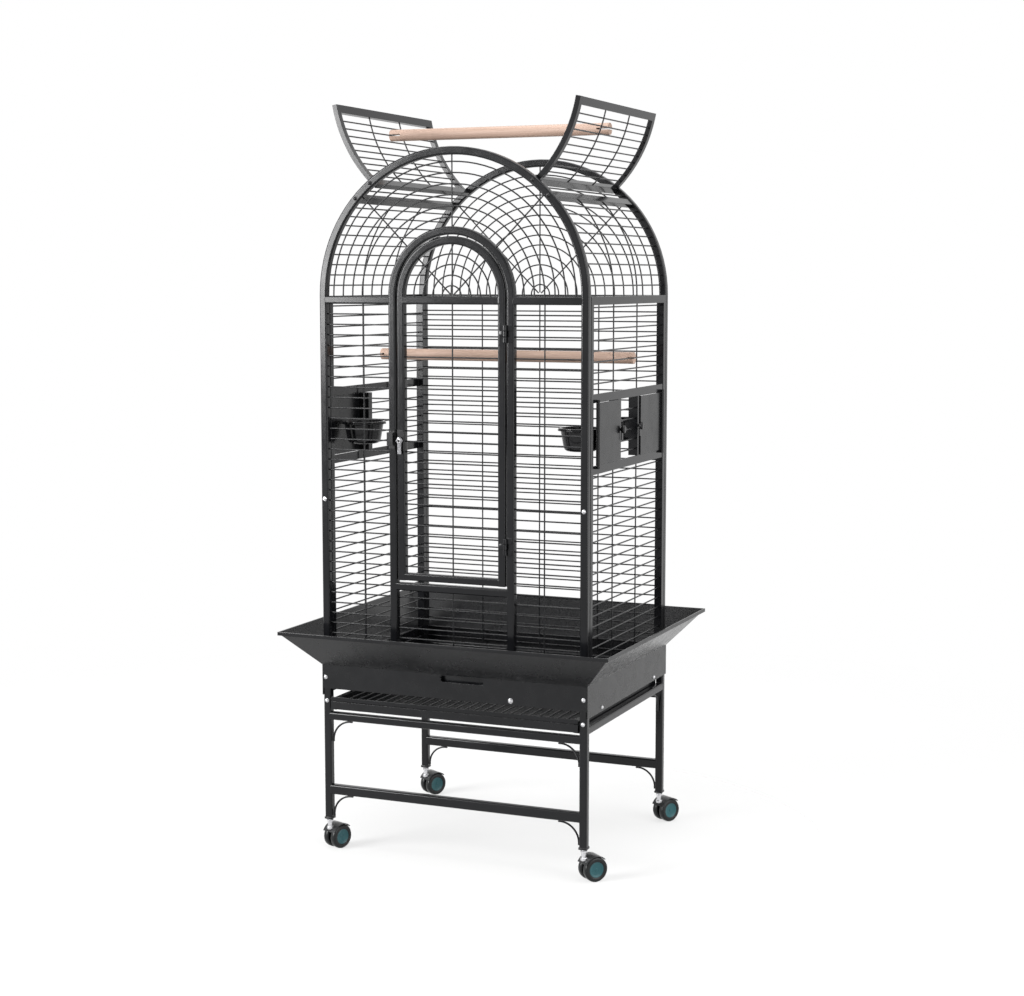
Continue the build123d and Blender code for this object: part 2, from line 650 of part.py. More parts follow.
write(side_wires(WINDOW_HALF), "side_wires_right")
write(mirrored(side_wires(SIDE_IN), Plane.YZ), "side_wires_left")

with BuildPart() as roof_bends_right:
    for y in (-SIDE_WIRE_Y, SIDE_WIRE_Y):
        with BuildSketch(Plane.XZ.offset(-y + WIRE / 2)):
            bend_r = ROOF_R - WIRE / 2 - WELD
            bar_reach = math.asin((ROOF_BAR_WIDE / 2 + WELD) / (bend_r - WIRE))
            last = ROOF_BAR_ANGLE - math.degrees(bar_reach)
            Polygon(*ring_points((0, SPRING), bend_r - WIRE, bend_r, 0, last, 6), align=None)
        extrude(amount=-WIRE)
write(roof_bends_right.part, "roof_bends_right")
write(mirrored(roof_bends_right.part, Plane.YZ), "roof_bends_left")

with BuildPart() as roof_bar_right:
    with Locations(roof_spot(ROOF_BAR_ANGLE)):
        Box(ROOF_BAR_THICK, 2 * INNER_D, ROOF_BAR_WIDE)
    hinge_turn = math.radians(FLAP_HINGE_ANGLE)
    flap_x = ROOF_R * math.cos(hinge_turn)
    flap_z = SPRING + ROOF_R * math.sin(hinge_turn)
    with BuildSketch(Plane.XZ.offset(INNER_D)):
        with Locations((flap_x, flap_z)):
            Circle(HINGE_ROD_R)
    extrude(amount=-2 * INNER_D)
write(roof_bar_right.part, "roof_bar_right")
write(mirrored(roof_bar_right.part, Plane.YZ), "roof_bar_left")

# Roof flaps, drawn in a frame that turns with them: closed it lies on the arch, here it stands open
FLAP_OPEN = 99.5
FLAP_HALF = INNER_D - 1.5
FLAP_SIDE = 14
FLAP_THICK = 10
FLAP_HEAD_ANGLE = 89
FLAP_BAR_WIDE = 16
flap_turn = math.radians(-FLAP_OPEN)
flap_plane = Plane(
    origin=(flap_x, 0, flap_z),
    x_dir=(math.cos(flap_turn), 0, math.sin(flap_turn)),
    z_dir=(0, -1, 0),
)
flap_centre = (-flap_x, SPRING - flap_z)


def flap_arc(inner, outer, start, stop):
    """A stretch of ring about the arch's centre, in the flap's own sketch frame."""
    with Locations(flap_centre):
        Circle(outer)
        Circle(inner, mode=Mode.SUBTRACT)
    for angle, side in ((start, -1), (stop, 1)):
        turn = math.radians(angle)
        away = (-math.sin(turn) * side * HALF_W, math.cos(turn) * side * HALF_W)
        with Locations((flap_centre[0] + away[0], flap_centre[1] + away[1])):
            Rectangle(4 * WIDTH, 2 * HALF_W, rotation=angle, mode=Mode.SUBTRACT)


def flap_block(angle, tall, wide):
    """A straight bar's section across the flap, tall along the radius and wide along the arc."""
    turn = math.radians(angle)
    with Locations((flap_centre[0] + ROOF_R * math.cos(turn), flap_centre[1] + ROOF_R * math.sin(turn))):
        Rectangle(tall, wide, rotation=angle)


bar_step = math.degrees(FLAP_BAR_WIDE / 2 / ROOF_R)
FLAP_WIRES = 9
first_angle = FLAP_HINGE_ANGLE + bar_step
last_angle = FLAP_HEAD_ANGLE - 2 * bar_step
flap_step = (last_angle - first_angle) / (FLAP_WIRES + 1)
flap_angles = [first_angle + flap_step * (i + 1) for i in range(FLAP_WIRES)]

with BuildPart() as flap_right:
    for near in (-FLAP_HALF, FLAP_HALF - FLAP_SIDE):
        with BuildSketch(flap_plane.offset(-near)):
            flap_arc(ROOF_R - FLAP_THICK / 2, ROOF_R + FLAP_THICK / 2, FLAP_HINGE_ANGLE, FLAP_HEAD_ANGLE)
        extrude(amount=-FLAP_SIDE)
    with BuildSketch(flap_plane.offset(FLAP_HALF - FLAP_SIDE)):
        flap_block(FLAP_HEAD_ANGLE - bar_step, FLAP_THICK, FLAP_BAR_WIDE)
    extrude(amount=-2 * (FLAP_HALF - FLAP_SIDE))
    with BuildSketch(flap_plane.offset(FLAP_HALF)):
        flap_block(FLAP_HINGE_ANGLE, FLAP_THICK, FLAP_BAR_WIDE)
    extrude(amount=-2 * FLAP_HALF)
    with BuildSketch(flap_plane.offset(FLAP_HALF)):
        RegularPolygon(pin_bore(HINGE_ROD_R), SMALL_SIDES)
    extrude(amount=-2 * FLAP_HALF, mode=Mode.SUBTRACT)
write(flap_right.part, "flap_right")
write(mirrored(flap_right.part, Plane.YZ), "flap_left")

with BuildPart() as flap_wires_right:
    with BuildSketch(flap_plane.offset(FLAP_HALF - FLAP_SIDE)):
        for angle in flap_angles:
            flap_block(angle, WIRE, WIRE)
    extrude(amount=-2 * (FLAP_HALF - FLAP_SIDE))
    for y in (-SIDE_WIRE_Y, SIDE_WIRE_Y):
        with BuildSketch(flap_plane.offset(-y + WIRE / 2)):
            facets = 5
            half_step = math.radians((last_angle - first_angle) / facets / 2)
            outside = (ROOF_R + WIRE / 2 + WELD) / math.cos(half_step)
            bend = ring_points(flap_centre, outside, outside + WIRE, first_angle, last_angle, facets)
            Polygon(*bend, align=None)
        extrude(amount=-WIRE)
write(flap_wires_right.part, "flap_wires_right")
write(mirrored(flap_wires_right.part, Plane.YZ), "flap_wires_left")

# Perches: one wedged over the side wires, one lying across the open flaps
PERCH_R = 12
PERCH_Y = 34
PERCH_INSET = 4
PERCH_HALF = HALF_W - PERCH_INSET
KERF = 3.4
KERF_DEEP = 10
PLAY_WIRE = 6
PLAY_REACH = 2

rest = math.radians(flap_angles[PLAY_WIRE])
rest_u = ROOF_R * math.cos(rest) - flap_x
rest_v = SPRING + ROOF_R * math.sin(rest) - flap_z
rest_x = flap_x + rest_u * math.cos(flap_turn) - rest_v * math.sin(flap_turn)
rest_z = flap_z + rest_u * math.sin(flap_turn) + rest_v * math.cos(flap_turn)
PLAY_HALF = rest_x + PLAY_REACH
PLAY_Z = rest_z + WIRE * 0.66 + PERCH_R
PLAY_KERF = 25


def perch(half, y, z, kerf_deep):
    """A dowel along X with a level saw kerf in each end."""
    with BuildPart() as dowel:
        with BuildSketch(Plane.YZ.offset(-half)):
            with Locations((y, z)):
                Circle(PERCH_R)
        extrude(amount=2 * half)
        with BuildSketch(Plane.XZ.offset(-y + 2 * PERCH_R)):
            with Locations((-half + kerf_deep / 2 - 1, z), (half - kerf_deep / 2 + 1, z)):
                Rectangle(kerf_deep + 2, KERF)
        extrude(amount=-4 * PERCH_R, mode=Mode.SUBTRACT)
    return dowel.part


write(perch(PERCH_HALF, PERCH_Y, PERCH_Z, KERF_DEEP), "perch_inner")
write(perch(PLAY_HALF, 0, PLAY_Z, PLAY_KERF), "play_perch")

# Door: arched frame with hinge knuckles, wires with a small fan, and a turn latch
DOOR_WIRE_RISE = 13
DOOR_FAN_PITCH = 20.6
door_heights = steps(DOOR_RAIL_TOP + DOOR_WIRE_RISE, BAR_FOOT - WIRE_ROOM, PITCH)
door_rings = int((DOOR_INNER - WIRE) / DOOR_FAN_PITCH)

with BuildPart() as door_frame:
    with BuildSketch(Plane.XZ.offset(HALF_D)):
        arched_outline(DOOR_HALF, DOOR_FOOT, TUBE)
        with Locations((0, middle(DOOR_FOOT, DOOR_RAIL_TOP))):
            Rectangle(2 * DOOR_HALF, DOOR_RAIL_TOP - DOOR_FOOT)
        with Locations((0, middle(BAR_FOOT, BAR_TOP))):
            Rectangle(2 * DOOR_INNER + TUBE, TUBE)
    extrude(amount=-TUBE)
    for height in HINGE_HEIGHTS:
        with BuildSketch(Plane.XY.offset(height - KNUCKLE_HALF)):
            with Locations((HINGE_X, HINGE_Y)):
                RegularPolygon(HINGE_R, SMALL_SIDES)
            with Locations((DOOR_HALF - LEAF_WIDE / 2, -HALF_D - LEAF / 2)):
                Rectangle(LEAF_WIDE, LEAF)
            with Locations((HINGE_X, HINGE_Y)):
                RegularPolygon(pin_bore(HINGE_PIN_R), SMALL_SIDES, mode=Mode.SUBTRACT)
        extrude(amount=2 * KNUCKLE_HALF)
write(door_frame.part, "door_frame")

with BuildPart() as door_wires:
    with Locations(*[(0, -WIRE_Y, z) for z in door_heights]):
        Box(2 * DOOR_INNER, WIRE, WIRE)
    with Locations((0, -WIRE_Y + LAYER, middle(DOOR_RAIL_TOP, BAR_FOOT))):
        Box(WIRE, WIRE, BAR_FOOT - DOOR_RAIL_TOP)
write(door_wires.part, "door_wires")

with BuildPart() as door_fan:
    with BuildSketch(Plane.XZ.offset(WIRE_Y + WIRE / 2)):
        fan_outline([DOOR_FAN_PITCH * (i + 1) for i in range(door_rings)])
    extrude(amount=-WIRE)
    spokes(SPOKE_FOOT, DOOR_INNER - 2 * WELD, -WIRE_Y + LAYER)
write(door_fan.part, "door_fan")

LATCH_RISE = 282
LATCH_TALL = 42
LATCH_PLATE = 2.5
LATCH_PIN_R = 2.5
LATCH_PIN_LONG = 9
LATCH_EDGE = 1
LEVER_LIFT = 2
LEVER_THICK = 3.5
LEVER_LONG = 27
LEVER_WIDE = 8
BOSS_R = 7
KEEPER_SHEET = 2
KEEPER_DEEP = 12
KEEPER_EDGE = 1.5
KEEPER_TALL = 36
KEEPER_SLOT = 10
KEEPER_ROOF = 6
KEEPER_LIP = 20
LATCH_X = -middle(DOOR_INNER, DOOR_HALF)
LATCH_Z = DOOR_FOOT + LATCH_RISE
LEVER_FOOT = HALF_D + LATCH_PLATE + LEVER_LIFT
KEEPER_X = -middle(JAMB_INNER, JAMB_HALF)
KEEPER_WIDE = TUBE - 2 * KEEPER_EDGE
KEEPER_CEILING = LATCH_Z + KEEPER_SLOT

with BuildPart() as latch_body:
    with BuildSketch(Plane.XZ.offset(HALF_D)):
        with Locations((LATCH_X, LATCH_Z)):
            Rectangle(TUBE - 2 * LATCH_EDGE, LATCH_TALL)
    extrude(amount=LATCH_PLATE)
    with BuildSketch(Plane.XZ.offset(HALF_D + LATCH_PLATE)):
        with Locations((LATCH_X, LATCH_Z)):
            RegularPolygon(LATCH_PIN_R, SMALL_SIDES)
    extrude(amount=LATCH_PIN_LONG)
write(latch_body.part, "latch_body")

with BuildPart() as latch_lever:
    with BuildSketch(Plane.XZ.offset(LEVER_FOOT)):
        with Locations((LATCH_X, LATCH_Z)):
            RegularPolygon(BOSS_R, SMALL_SIDES)
        with Locations((LATCH_X, LATCH_Z - LEVER_LONG / 2)):
            Rectangle(LEVER_WIDE, LEVER_LONG)
        with Locations((LATCH_X, LATCH_Z)):
            RegularPolygon(pin_bore(LATCH_PIN_R), SMALL_SIDES, mode=Mode.SUBTRACT)
    extrude(amount=LEVER_THICK)
write(latch_lever.part, "latch_lever")

with BuildPart() as latch_keeper:
    with BuildSketch(Plane.YZ.offset(KEEPER_X - KEEPER_WIDE / 2)):
        front = -HALF_D - KEEPER_DEEP
        with Locations((-HALF_D - KEEPER_SHEET / 2, LATCH_Z)):
            Rectangle(KEEPER_SHEET, KEEPER_TALL)
        with Locations((front + KEEPER_SHEET / 2, KEEPER_CEILING - KEEPER_LIP / 2)):
            Rectangle(KEEPER_SHEET, KEEPER_LIP)
        with Locations((-HALF_D - KEEPER_DEEP / 2, KEEPER_CEILING + KEEPER_ROOF / 2)):
            Rectangle(KEEPER_DEEP, KEEPER_ROOF)
    extrude(amount=KEEPER_WIDE)
write(latch_keeper.part, "latch_keeper")

# Feeders: a hinged plate with a bowl shelf, a round bowl and a turn knob; three, by mirroring
BOWL_SIDES = 20
BOWL_R = 45
BOWL_FOOT_R = 33
BOWL_RISE = 23
BOWL_TALL = 46
BOWL_WALL = 2
BOWL_BACK = 4.8
BOWL_SIDE = 3.5
BOWL_PLAY = 1.5
RIM_TALL = 3
RIM_LAP = 3
SHELF = 2
SHELF_EDGE = 1
BOWL_X = FEEDER_X - BOWL_BACK - BOWL_R
BOWL_Y = FEEDER_AXIS_Y - BOWL_SIDE - BOWL_R
BOWL_FOOT = HATCH_FOOT + BOWL_RISE
SHELF_HOLE = BOWL_R - RIM_LAP
BOWL_NECK_R = SHELF_HOLE - BOWL_PLAY
SHELF_TOP = BOWL_FOOT + BOWL_TALL - RIM_TALL - REST_PLAY
barrel_foot = HATCH_FOOT + LUG_GAP
barrel_top = HATCH_TOP - LUG_GAP

with BuildPart() as feeder_master:
    with BuildSketch(Plane.YZ.offset(FEEDER_X)):
        with Locations((middle(FEEDER_EDGE, FEEDER_AXIS_Y), HATCH_MID)):
            Rectangle(FEEDER_AXIS_Y - FEEDER_EDGE, barrel_top - barrel_foot)
    extrude(amount=FEEDER_PLATE)
    with BuildSketch(Plane.XY.offset(SHELF_TOP - SHELF)):
        with Locations((BOWL_X, BOWL_Y)):
            RegularPolygon(BOWL_R + SHELF_EDGE, BOWL_SIDES)
        with Locations((middle(BOWL_X, FEEDER_X), BOWL_Y)):
            Rectangle(FEEDER_X - BOWL_X, BOWL_R)
        with Locations((BOWL_X, BOWL_Y)):
            RegularPolygon(SHELF_HOLE, BOWL_SIDES, mode=Mode.SUBTRACT)
    extrude(amount=SHELF)
    with BuildSketch(Plane.XY.offset(barrel_foot)):
        with Locations((FEEDER_AXIS_X, FEEDER_AXIS_Y)):
            RegularPolygon(FEEDER_HINGE_R, SMALL_SIDES)
    extrude(amount=barrel_top - barrel_foot)
    with BuildSketch(Plane.XY.offset(barrel_foot)):
        with Locations((FEEDER_AXIS_X, FEEDER_AXIS_Y)):
            RegularPolygon(pin_bore(FEEDER_PIN_R), SMALL_SIDES)
    extrude(amount=barrel_top - barrel_foot, mode=Mode.SUBTRACT)


def tapered(foot_r, head_r, foot, head):
    """A faceted cup shape between two heights, cut out of a block by one slanted plane a side."""
    flat = math.cos(math.pi / BOWL_SIDES)
    with BuildPart() as cup:
        with BuildSketch(Plane.XY.offset(foot)):
            RegularPolygon(2 * head_r, BOWL_SIDES)
        extrude(amount=head - foot)
        for i in range(BOWL_SIDES):
            turn = 2 * math.pi * (i + 0.5) / BOWL_SIDES
            across, along = math.cos(turn), math.sin(turn)
            rim = (head_r * flat * across, head_r * flat * along, head)
            lean = ((head - foot) * across, (head - foot) * along, (foot_r - head_r) * flat)
            split(bisect_by=Plane(origin=rim, z_dir=lean), keep=Keep.BOTTOM)
    return cup.part


with BuildPart() as bowl_master:
    add(tapered(BOWL_FOOT_R, BOWL_NECK_R, 0, BOWL_TALL - RIM_TALL))
    with BuildSketch(Plane.XY.offset(BOWL_TALL - RIM_TALL)):
        RegularPolygon(BOWL_R, BOWL_SIDES)
    extrude(amount=RIM_TALL)
    add(tapered(BOWL_FOOT_R - BOWL_WALL, BOWL_NECK_R - BOWL_WALL, BOWL_WALL, BOWL_TALL), mode=Mode.SUBTRACT)

with BuildPart() as bowl_placed:
    with Locations((BOWL_X, BOWL_Y, BOWL_FOOT)):
        add(bowl_master.part)

TONGUE = 2
TONGUE_WIDE = 9
TONGUE_LONG = 26
TONGUE_HANG = 8

with BuildPart() as knob_master:
    with BuildSketch(Plane.YZ.offset(KNOB_FOOT)):
        with Locations((KNOB_Y, HATCH_MID - TONGUE_HANG)):
            Rectangle(TONGUE_WIDE, TONGUE_LONG)
        with Locations((KNOB_Y, HATCH_MID)):
            RegularPolygon(pin_bore(KNOB_PIN_R), SMALL_SIDES, mode=Mode.SUBTRACT)
    extrude(amount=TONGUE)
    with BuildSketch(Plane.YZ.offset(KNOB_FOOT + TONGUE)):
        with Locations((KNOB_Y, HATCH_MID)):
            RegularPolygon(KNOB_R, SMALL_SIDES)
            RegularPolygon(pin_bore(KNOB_PIN_R), SMALL_SIDES, mode=Mode.SUBTRACT)
    extrude(amount=KNOB_TALL - TONGUE)

for kind, master in (("feeder_door", feeder_master), ("bowl", bowl_placed), ("feeder_knob", knob_master)):
    rear_right = master.part
    front_right = mirrored(rear_right, Plane.XZ)
    write(mirrored(front_right, Plane.YZ), f"{kind}_fl")
    write(front_right, f"{kind}_fr")
    write(rear_right, f"{kind}_rr")

print("flap hinge", round(flap_x, 2), round(flap_z, 2))
print("play perch", round(PLAY_HALF, 2), round(PLAY_Z, 2))
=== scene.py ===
import json
import math

import bmesh
import bpy
import numpy as np
from mathutils import Matrix, Vector


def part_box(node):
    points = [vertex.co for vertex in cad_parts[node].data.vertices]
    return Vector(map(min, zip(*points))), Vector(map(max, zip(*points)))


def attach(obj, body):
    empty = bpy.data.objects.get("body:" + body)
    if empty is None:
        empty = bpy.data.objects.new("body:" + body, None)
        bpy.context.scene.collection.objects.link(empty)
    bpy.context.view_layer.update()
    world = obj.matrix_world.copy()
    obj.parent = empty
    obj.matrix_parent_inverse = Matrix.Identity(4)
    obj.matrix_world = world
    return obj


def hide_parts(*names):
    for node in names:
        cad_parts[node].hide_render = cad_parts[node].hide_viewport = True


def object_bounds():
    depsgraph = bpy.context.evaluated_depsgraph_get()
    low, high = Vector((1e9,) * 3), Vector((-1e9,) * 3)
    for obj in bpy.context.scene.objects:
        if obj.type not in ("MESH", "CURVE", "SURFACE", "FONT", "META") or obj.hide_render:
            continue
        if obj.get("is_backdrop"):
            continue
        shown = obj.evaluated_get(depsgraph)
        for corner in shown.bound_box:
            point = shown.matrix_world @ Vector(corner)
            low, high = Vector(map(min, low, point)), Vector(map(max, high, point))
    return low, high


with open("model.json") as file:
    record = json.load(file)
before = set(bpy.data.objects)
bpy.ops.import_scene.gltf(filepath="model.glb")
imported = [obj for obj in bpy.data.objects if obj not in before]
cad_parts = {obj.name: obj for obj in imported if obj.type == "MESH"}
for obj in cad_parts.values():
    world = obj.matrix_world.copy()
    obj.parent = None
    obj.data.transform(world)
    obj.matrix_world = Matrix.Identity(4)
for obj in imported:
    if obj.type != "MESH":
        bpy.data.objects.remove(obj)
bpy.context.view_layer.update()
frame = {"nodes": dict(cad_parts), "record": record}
nodes = frame["nodes"]

# Sizes and places that the visible pieces share with the frame, in metres
TUBE = 0.016
WIRE_R = 0.0015
GUSSET_R = 0.002
SHEET_T = 0.0015
POST_X = 0.282
LEG_X = 0.282
LEG_Y = 0.230
FRONT_Y = -0.238
LEG_FOOT = 0.066
SIDE_RAIL = 0.302
STAND_TOP = 0.345
SPRING = 1.145
ARCH_R = 0.282
JAMB_X = 0.128
DOOR_X = 0.109
DOOR_FOOT = 0.577
SILL_Z = 0.5845
SILL_TALL = 0.015
HINGE_X = 0.1185
HINGES = (0.657, 1.073)
SPOTS = {"fl": (-1, -1), "fr": (1, -1), "rl": (-1, 1), "rr": (1, 1)}
FEEDERS = ("fl", "fr", "rr")


# Node building blocks

def feed(tree, value, socket):
    """Links a value that comes from another node, and sets a plain one."""
    if isinstance(value, bpy.types.NodeSocket):
        tree.links.new(value, socket)
    else:
        socket.default_value = value


def put(tree, kind, inputs=None, **settings):
    node = tree.nodes.new(kind)
    for key, value in settings.items():
        setattr(node, key, value)
    for label, value in (inputs or {}).items():
        feed(tree, value, node.inputs[label])
    return node


def noise(tree, vector, scale, detail=2.0, rough=0.5):
    inputs = {"Vector": vector, "Scale": scale, "Detail": detail, "Roughness": rough}
    return put(tree, "ShaderNodeTexNoise", inputs).outputs["Fac"]


def spread(tree, value, low, high, to_low=0.0, to_high=1.0):
    inputs = {"Value": value, "From Min": low, "From Max": high, "To Min": to_low, "To Max": to_high}
    return put(tree, "ShaderNodeMapRange", inputs).outputs["Result"]


def blend_colours(tree, factor, a, b):
    node = put(tree, "ShaderNodeMix", data_type="RGBA")
    feed(tree, factor, node.inputs["Factor"])
    feed(tree, a, node.inputs[6])
    feed(tree, b, node.inputs[7])
    return node.outputs[2]


def combine(tree, operation, a, b):
    node = put(tree, "ShaderNodeMath", operation=operation)
    feed(tree, a, node.inputs[0])
    feed(tree, b, node.inputs[1])
    return node.outputs["Value"]


# Finishes: the coat of metal and plastic pieces, and the grain of the perches
RELIEF = 0.0004
COAT_GLOSS = 0.28
DUST_COLOUR = (0.32, 0.31, 0.3, 1)
PORE_COLOUR = (0.3, 0.18, 0.13, 1)


def finish_group(name, inputs):
    tree = bpy.data.node_groups.new(name, "ShaderNodeTree")
    for label, kind, value in inputs:
        tree.interface.new_socket(label, in_out="INPUT", socket_type=kind).default_value = value
    for label, kind in (("Color", "Color"), ("Roughness", "Float"), ("Normal", "Vector")):
        tree.interface.new_socket(label, in_out="OUTPUT", socket_type="NodeSocket" + kind)
    return tree, put(tree, "NodeGroupInput").outputs, put(tree, "NodeGroupOutput").inputs


def relief(tree, height, strength, edge):
    """Normals with softened edges and a fine relief on top."""
    soft = put(tree, "ShaderNodeBevel", {"Radius": edge}, samples=6)
    inputs = {"Distance": RELIEF, "Strength": strength, "Height": height, "Normal": soft.outputs["Normal"]}
    return put(tree, "ShaderNodeBump", inputs).outputs["Normal"]


def coat_group():
    """Sprayed or moulded skin: broad tone drift, dust on upward faces, fine peel and softened edges."""
    tree, start, end = finish_group(
        "coat_finish",
        [
            ("Deep", "NodeSocketColor", (0.02, 0.02, 0.022, 1)),
            ("Pale", "NodeSocketColor", (0.03, 0.03, 0.033, 1)),
            ("Dust", "NodeSocketFloat", 0.1),
            ("Rough Low", "NodeSocketFloat", 0.3),
            ("Rough High", "NodeSocketFloat", 0.45),
            ("Peel Scale", "NodeSocketFloat", 500.0),
            ("Peel", "NodeSocketFloat", 0.1),
            ("Edge", "NodeSocketFloat", 0.001),
        ],
    )
    where = put(tree, "ShaderNodeTexCoord").outputs["Object"]
    drift = spread(tree, noise(tree, where, 7, 4), 0.3, 0.7)
    tone = blend_colours(tree, drift, start["Deep"], start["Pale"])
    surface = put(tree, "ShaderNodeNewGeometry").outputs["Normal"]
    upright = put(tree, "ShaderNodeSeparateXYZ", {"Vector": surface}).outputs["Z"]
    upward = spread(tree, upright, 0.4, 1.0)
    specks = spread(tree, noise(tree, where, 120, 5, 0.7), 0.35, 0.75)
    dusty = combine(tree, "MULTIPLY", combine(tree, "MULTIPLY", upward, specks), start["Dust"])
    feed(tree, blend_colours(tree, dusty, tone, DUST_COLOUR), end["Color"])
    sheen = spread(tree, noise(tree, where, 40, 3), 0.3, 0.7, start["Rough Low"], start["Rough High"])
    feed(tree, sheen, end["Roughness"])
    peel = noise(tree, where, start["Peel Scale"])
    feed(tree, relief(tree, peel, start["Peel"], start["Edge"]), end["Normal"])
    return tree


def grain_group():
    """Turned softwood along X: long streaks, growth bands, dark pores and softened edges."""
    tree, start, end = finish_group(
        "dowel_grain",
        [
            ("Light", "NodeSocketColor", (0.7, 0.5, 0.42, 1)),
            ("Dark", "NodeSocketColor", (0.5, 0.32, 0.25, 1)),
        ],
    )
    where = put(tree, "ShaderNodeTexCoord").outputs["Object"]
    along = put(tree, "ShaderNodeMapping", {"Vector": where, "Scale": (2.2, 60, 60)}).outputs["Vector"]
    streak = noise(tree, along, 2.2, 6, 0.62)
    body = blend_colours(tree, spread(tree, streak, 0.35, 0.68), start["Light"], start["Dark"])
    bands = put(
        tree, "ShaderNodeTexWave", {"Vector": along, "Scale": 1.3, "Distortion": 5.0, "Detail": 3.0},
        wave_type="BANDS", bands_direction="Z",
    )
    body = blend_colours(tree, combine(tree, "MULTIPLY", bands.outputs["Fac"], 0.35), body, start["Dark"])
    fine = put(tree, "ShaderNodeMapping", {"Vector": where, "Scale": (60, 900, 900)}).outputs["Vector"]
    pores = spread(tree, noise(tree, fine, 1.0, 2), 0.66, 0.74)
    body = blend_colours(tree, combine(tree, "MULTIPLY", pores, 0.5), body, PORE_COLOUR)
    feed(tree, body, end["Color"])
    feed(tree, spread(tree, streak, 0.3, 0.7, 0.5, 0.68), end["Roughness"])
    feed(tree, relief(tree, streak, 0.25, 0.0012), end["Normal"])
    return tree


COAT = coat_group()
GRAIN = grain_group()


def material(name, group, values, **surface):
    made = bpy.data.materials.new(name)
    made.use_nodes = True
    tree = made.node_tree
    shader = tree.nodes["Principled BSDF"]
    finish = put(tree, "ShaderNodeGroup", values, node_tree=group).outputs
    feed(tree, finish["Color"], shader.inputs["Base Color"])
    feed(tree, finish["Roughness"], shader.inputs["Roughness"])
    feed(tree, finish["Normal"], shader.inputs["Normal"])
    for label, value in surface.items():
        shader.inputs[label.replace("_", " ")].default_value = value
    return made


def coated(name, deep, pale, rough, peel, scale, edge, dust, **surface):
    values = {
        "Deep": (*deep, 1), "Pale": (*pale, 1), "Dust": dust, "Rough Low": rough[0], "Rough High": rough[1],
        "Peel Scale": scale, "Peel": peel, "Edge": edge,
    }
    return material(name, COAT, values, Specular_IOR_Level=COAT_GLOSS, **surface)


BLACK = coated(
    "black_coat", (0.004, 0.0042, 0.005), (0.007, 0.0072, 0.0085),
    rough=(0.14, 0.2), peel=0.03, scale=650, edge=0.0012, dust=0.03,
)
WIRES = coated(
    "black_wire", (0.006, 0.0062, 0.007), (0.011, 0.0112, 0.0125),
    rough=(0.24, 0.34), peel=0.08, scale=900, edge=0.0003, dust=0.06,
)
SHEET = coated(
    "black_sheet", (0.004, 0.0042, 0.005), (0.007, 0.0072, 0.0082),
    rough=(0.2, 0.3), peel=0.006, scale=420, edge=0.0014, dust=0.01,
)
CATCH = coated(
    "latch_black", (0.008, 0.008, 0.009), (0.014, 0.014, 0.015),
    rough=(0.2, 0.3), peel=0.08, scale=700, edge=0.0012, dust=0.04,
)
BOWL = coated(
    "bowl_plastic", (0.006, 0.006, 0.007), (0.01, 0.01, 0.011),
    rough=(0.08, 0.15), peel=0.03, scale=260, edge=0.0008, dust=0.04,
)
HOOD = coated(
    "caster_plastic", (0.016, 0.017, 0.018), (0.026, 0.027, 0.028),
    rough=(0.2, 0.3), peel=0.05, scale=700, edge=0.0009, dust=0.06,
)
TREAD = coated(
    "wheel_tread", (0.005, 0.006, 0.0065), (0.009, 0.0105, 0.011),
    rough=(0.22, 0.34), peel=0.06, scale=700, edge=0.0006, dust=0.06,
)
TEAL = coated(
    "wheel_cap", (0.018, 0.085, 0.1), (0.032, 0.13, 0.145),
    rough=(0.24, 0.36), peel=0.04, scale=500, edge=0.0006, dust=0.04,
)
CHROME = coated(
    "bright_metal", (0.16, 0.16, 0.17), (0.26, 0.26, 0.27),
    rough=(0.12, 0.22), peel=0.03, scale=500, edge=0.0014, dust=0.03, Metallic=1.0,
)
ZINC = coated(
    "zinc", (0.5, 0.5, 0.51), (0.68, 0.68, 0.7),
    rough=(0.24, 0.38), peel=0.06, scale=600, edge=0.0004, dust=0.05, Metallic=1.0,
)
WOOD = material("perch_wood", GRAIN, {"Light": (0.5, 0.35, 0.28, 1), "Dark": (0.36, 0.245, 0.185, 1)})

FINISH = {
    "black_coat": BLACK, "black_sheet": SHEET, "perch_wood": WOOD, "bright_metal": CHROME,
    "latch_black": CATCH, "bowl_plastic": BOWL, "caster_plastic": HOOD, "wheel_tread": TREAD,
}
for entry in frame["record"]["subparts"]:
    own = nodes[entry["node"]].data.materials
    own.clear()
    own.append(FINISH[entry["material_slot"]])


# Geometry node trees for wires, tubes and bolts

def geometry_tree(name, *sizes):
    tree = bpy.data.node_groups.new(name, "GeometryNodeTree")
    tree.interface.new_socket("Geometry", in_out="INPUT", socket_type="NodeSocketGeometry")
    for label, kind in sizes:
        tree.interface.new_socket(label, in_out="INPUT", socket_type=kind)
    tree.interface.new_socket("Finish", in_out="INPUT", socket_type="NodeSocketMaterial")
    tree.interface.new_socket("Geometry", in_out="OUTPUT", socket_type="NodeSocketGeometry")
    return tree, put(tree, "NodeGroupInput").outputs, put(tree, "NodeGroupOutput").inputs


def close_tree(tree, start, end, shape):
    real = put(tree, "GeometryNodeRealizeInstances", {"Geometry": shape}).outputs["Geometry"]
    paint = put(tree, "GeometryNodeSetMaterial", {"Geometry": real, "Material": start["Finish"]})
    feed(tree, paint.outputs["Geometry"], end["Geometry"])
    return tree


def sweep(tree, start, outline):
    """Carries an outline along every chain of edges and closes its ends."""
    path = put(tree, "GeometryNodeMeshToCurve", {"Mesh": start["Geometry"]}).outputs["Curve"]
    inputs = {"Curve": path, "Profile Curve": outline, "Fill Caps": True}
    return put(tree, "GeometryNodeCurveToMesh", inputs).outputs["Mesh"]


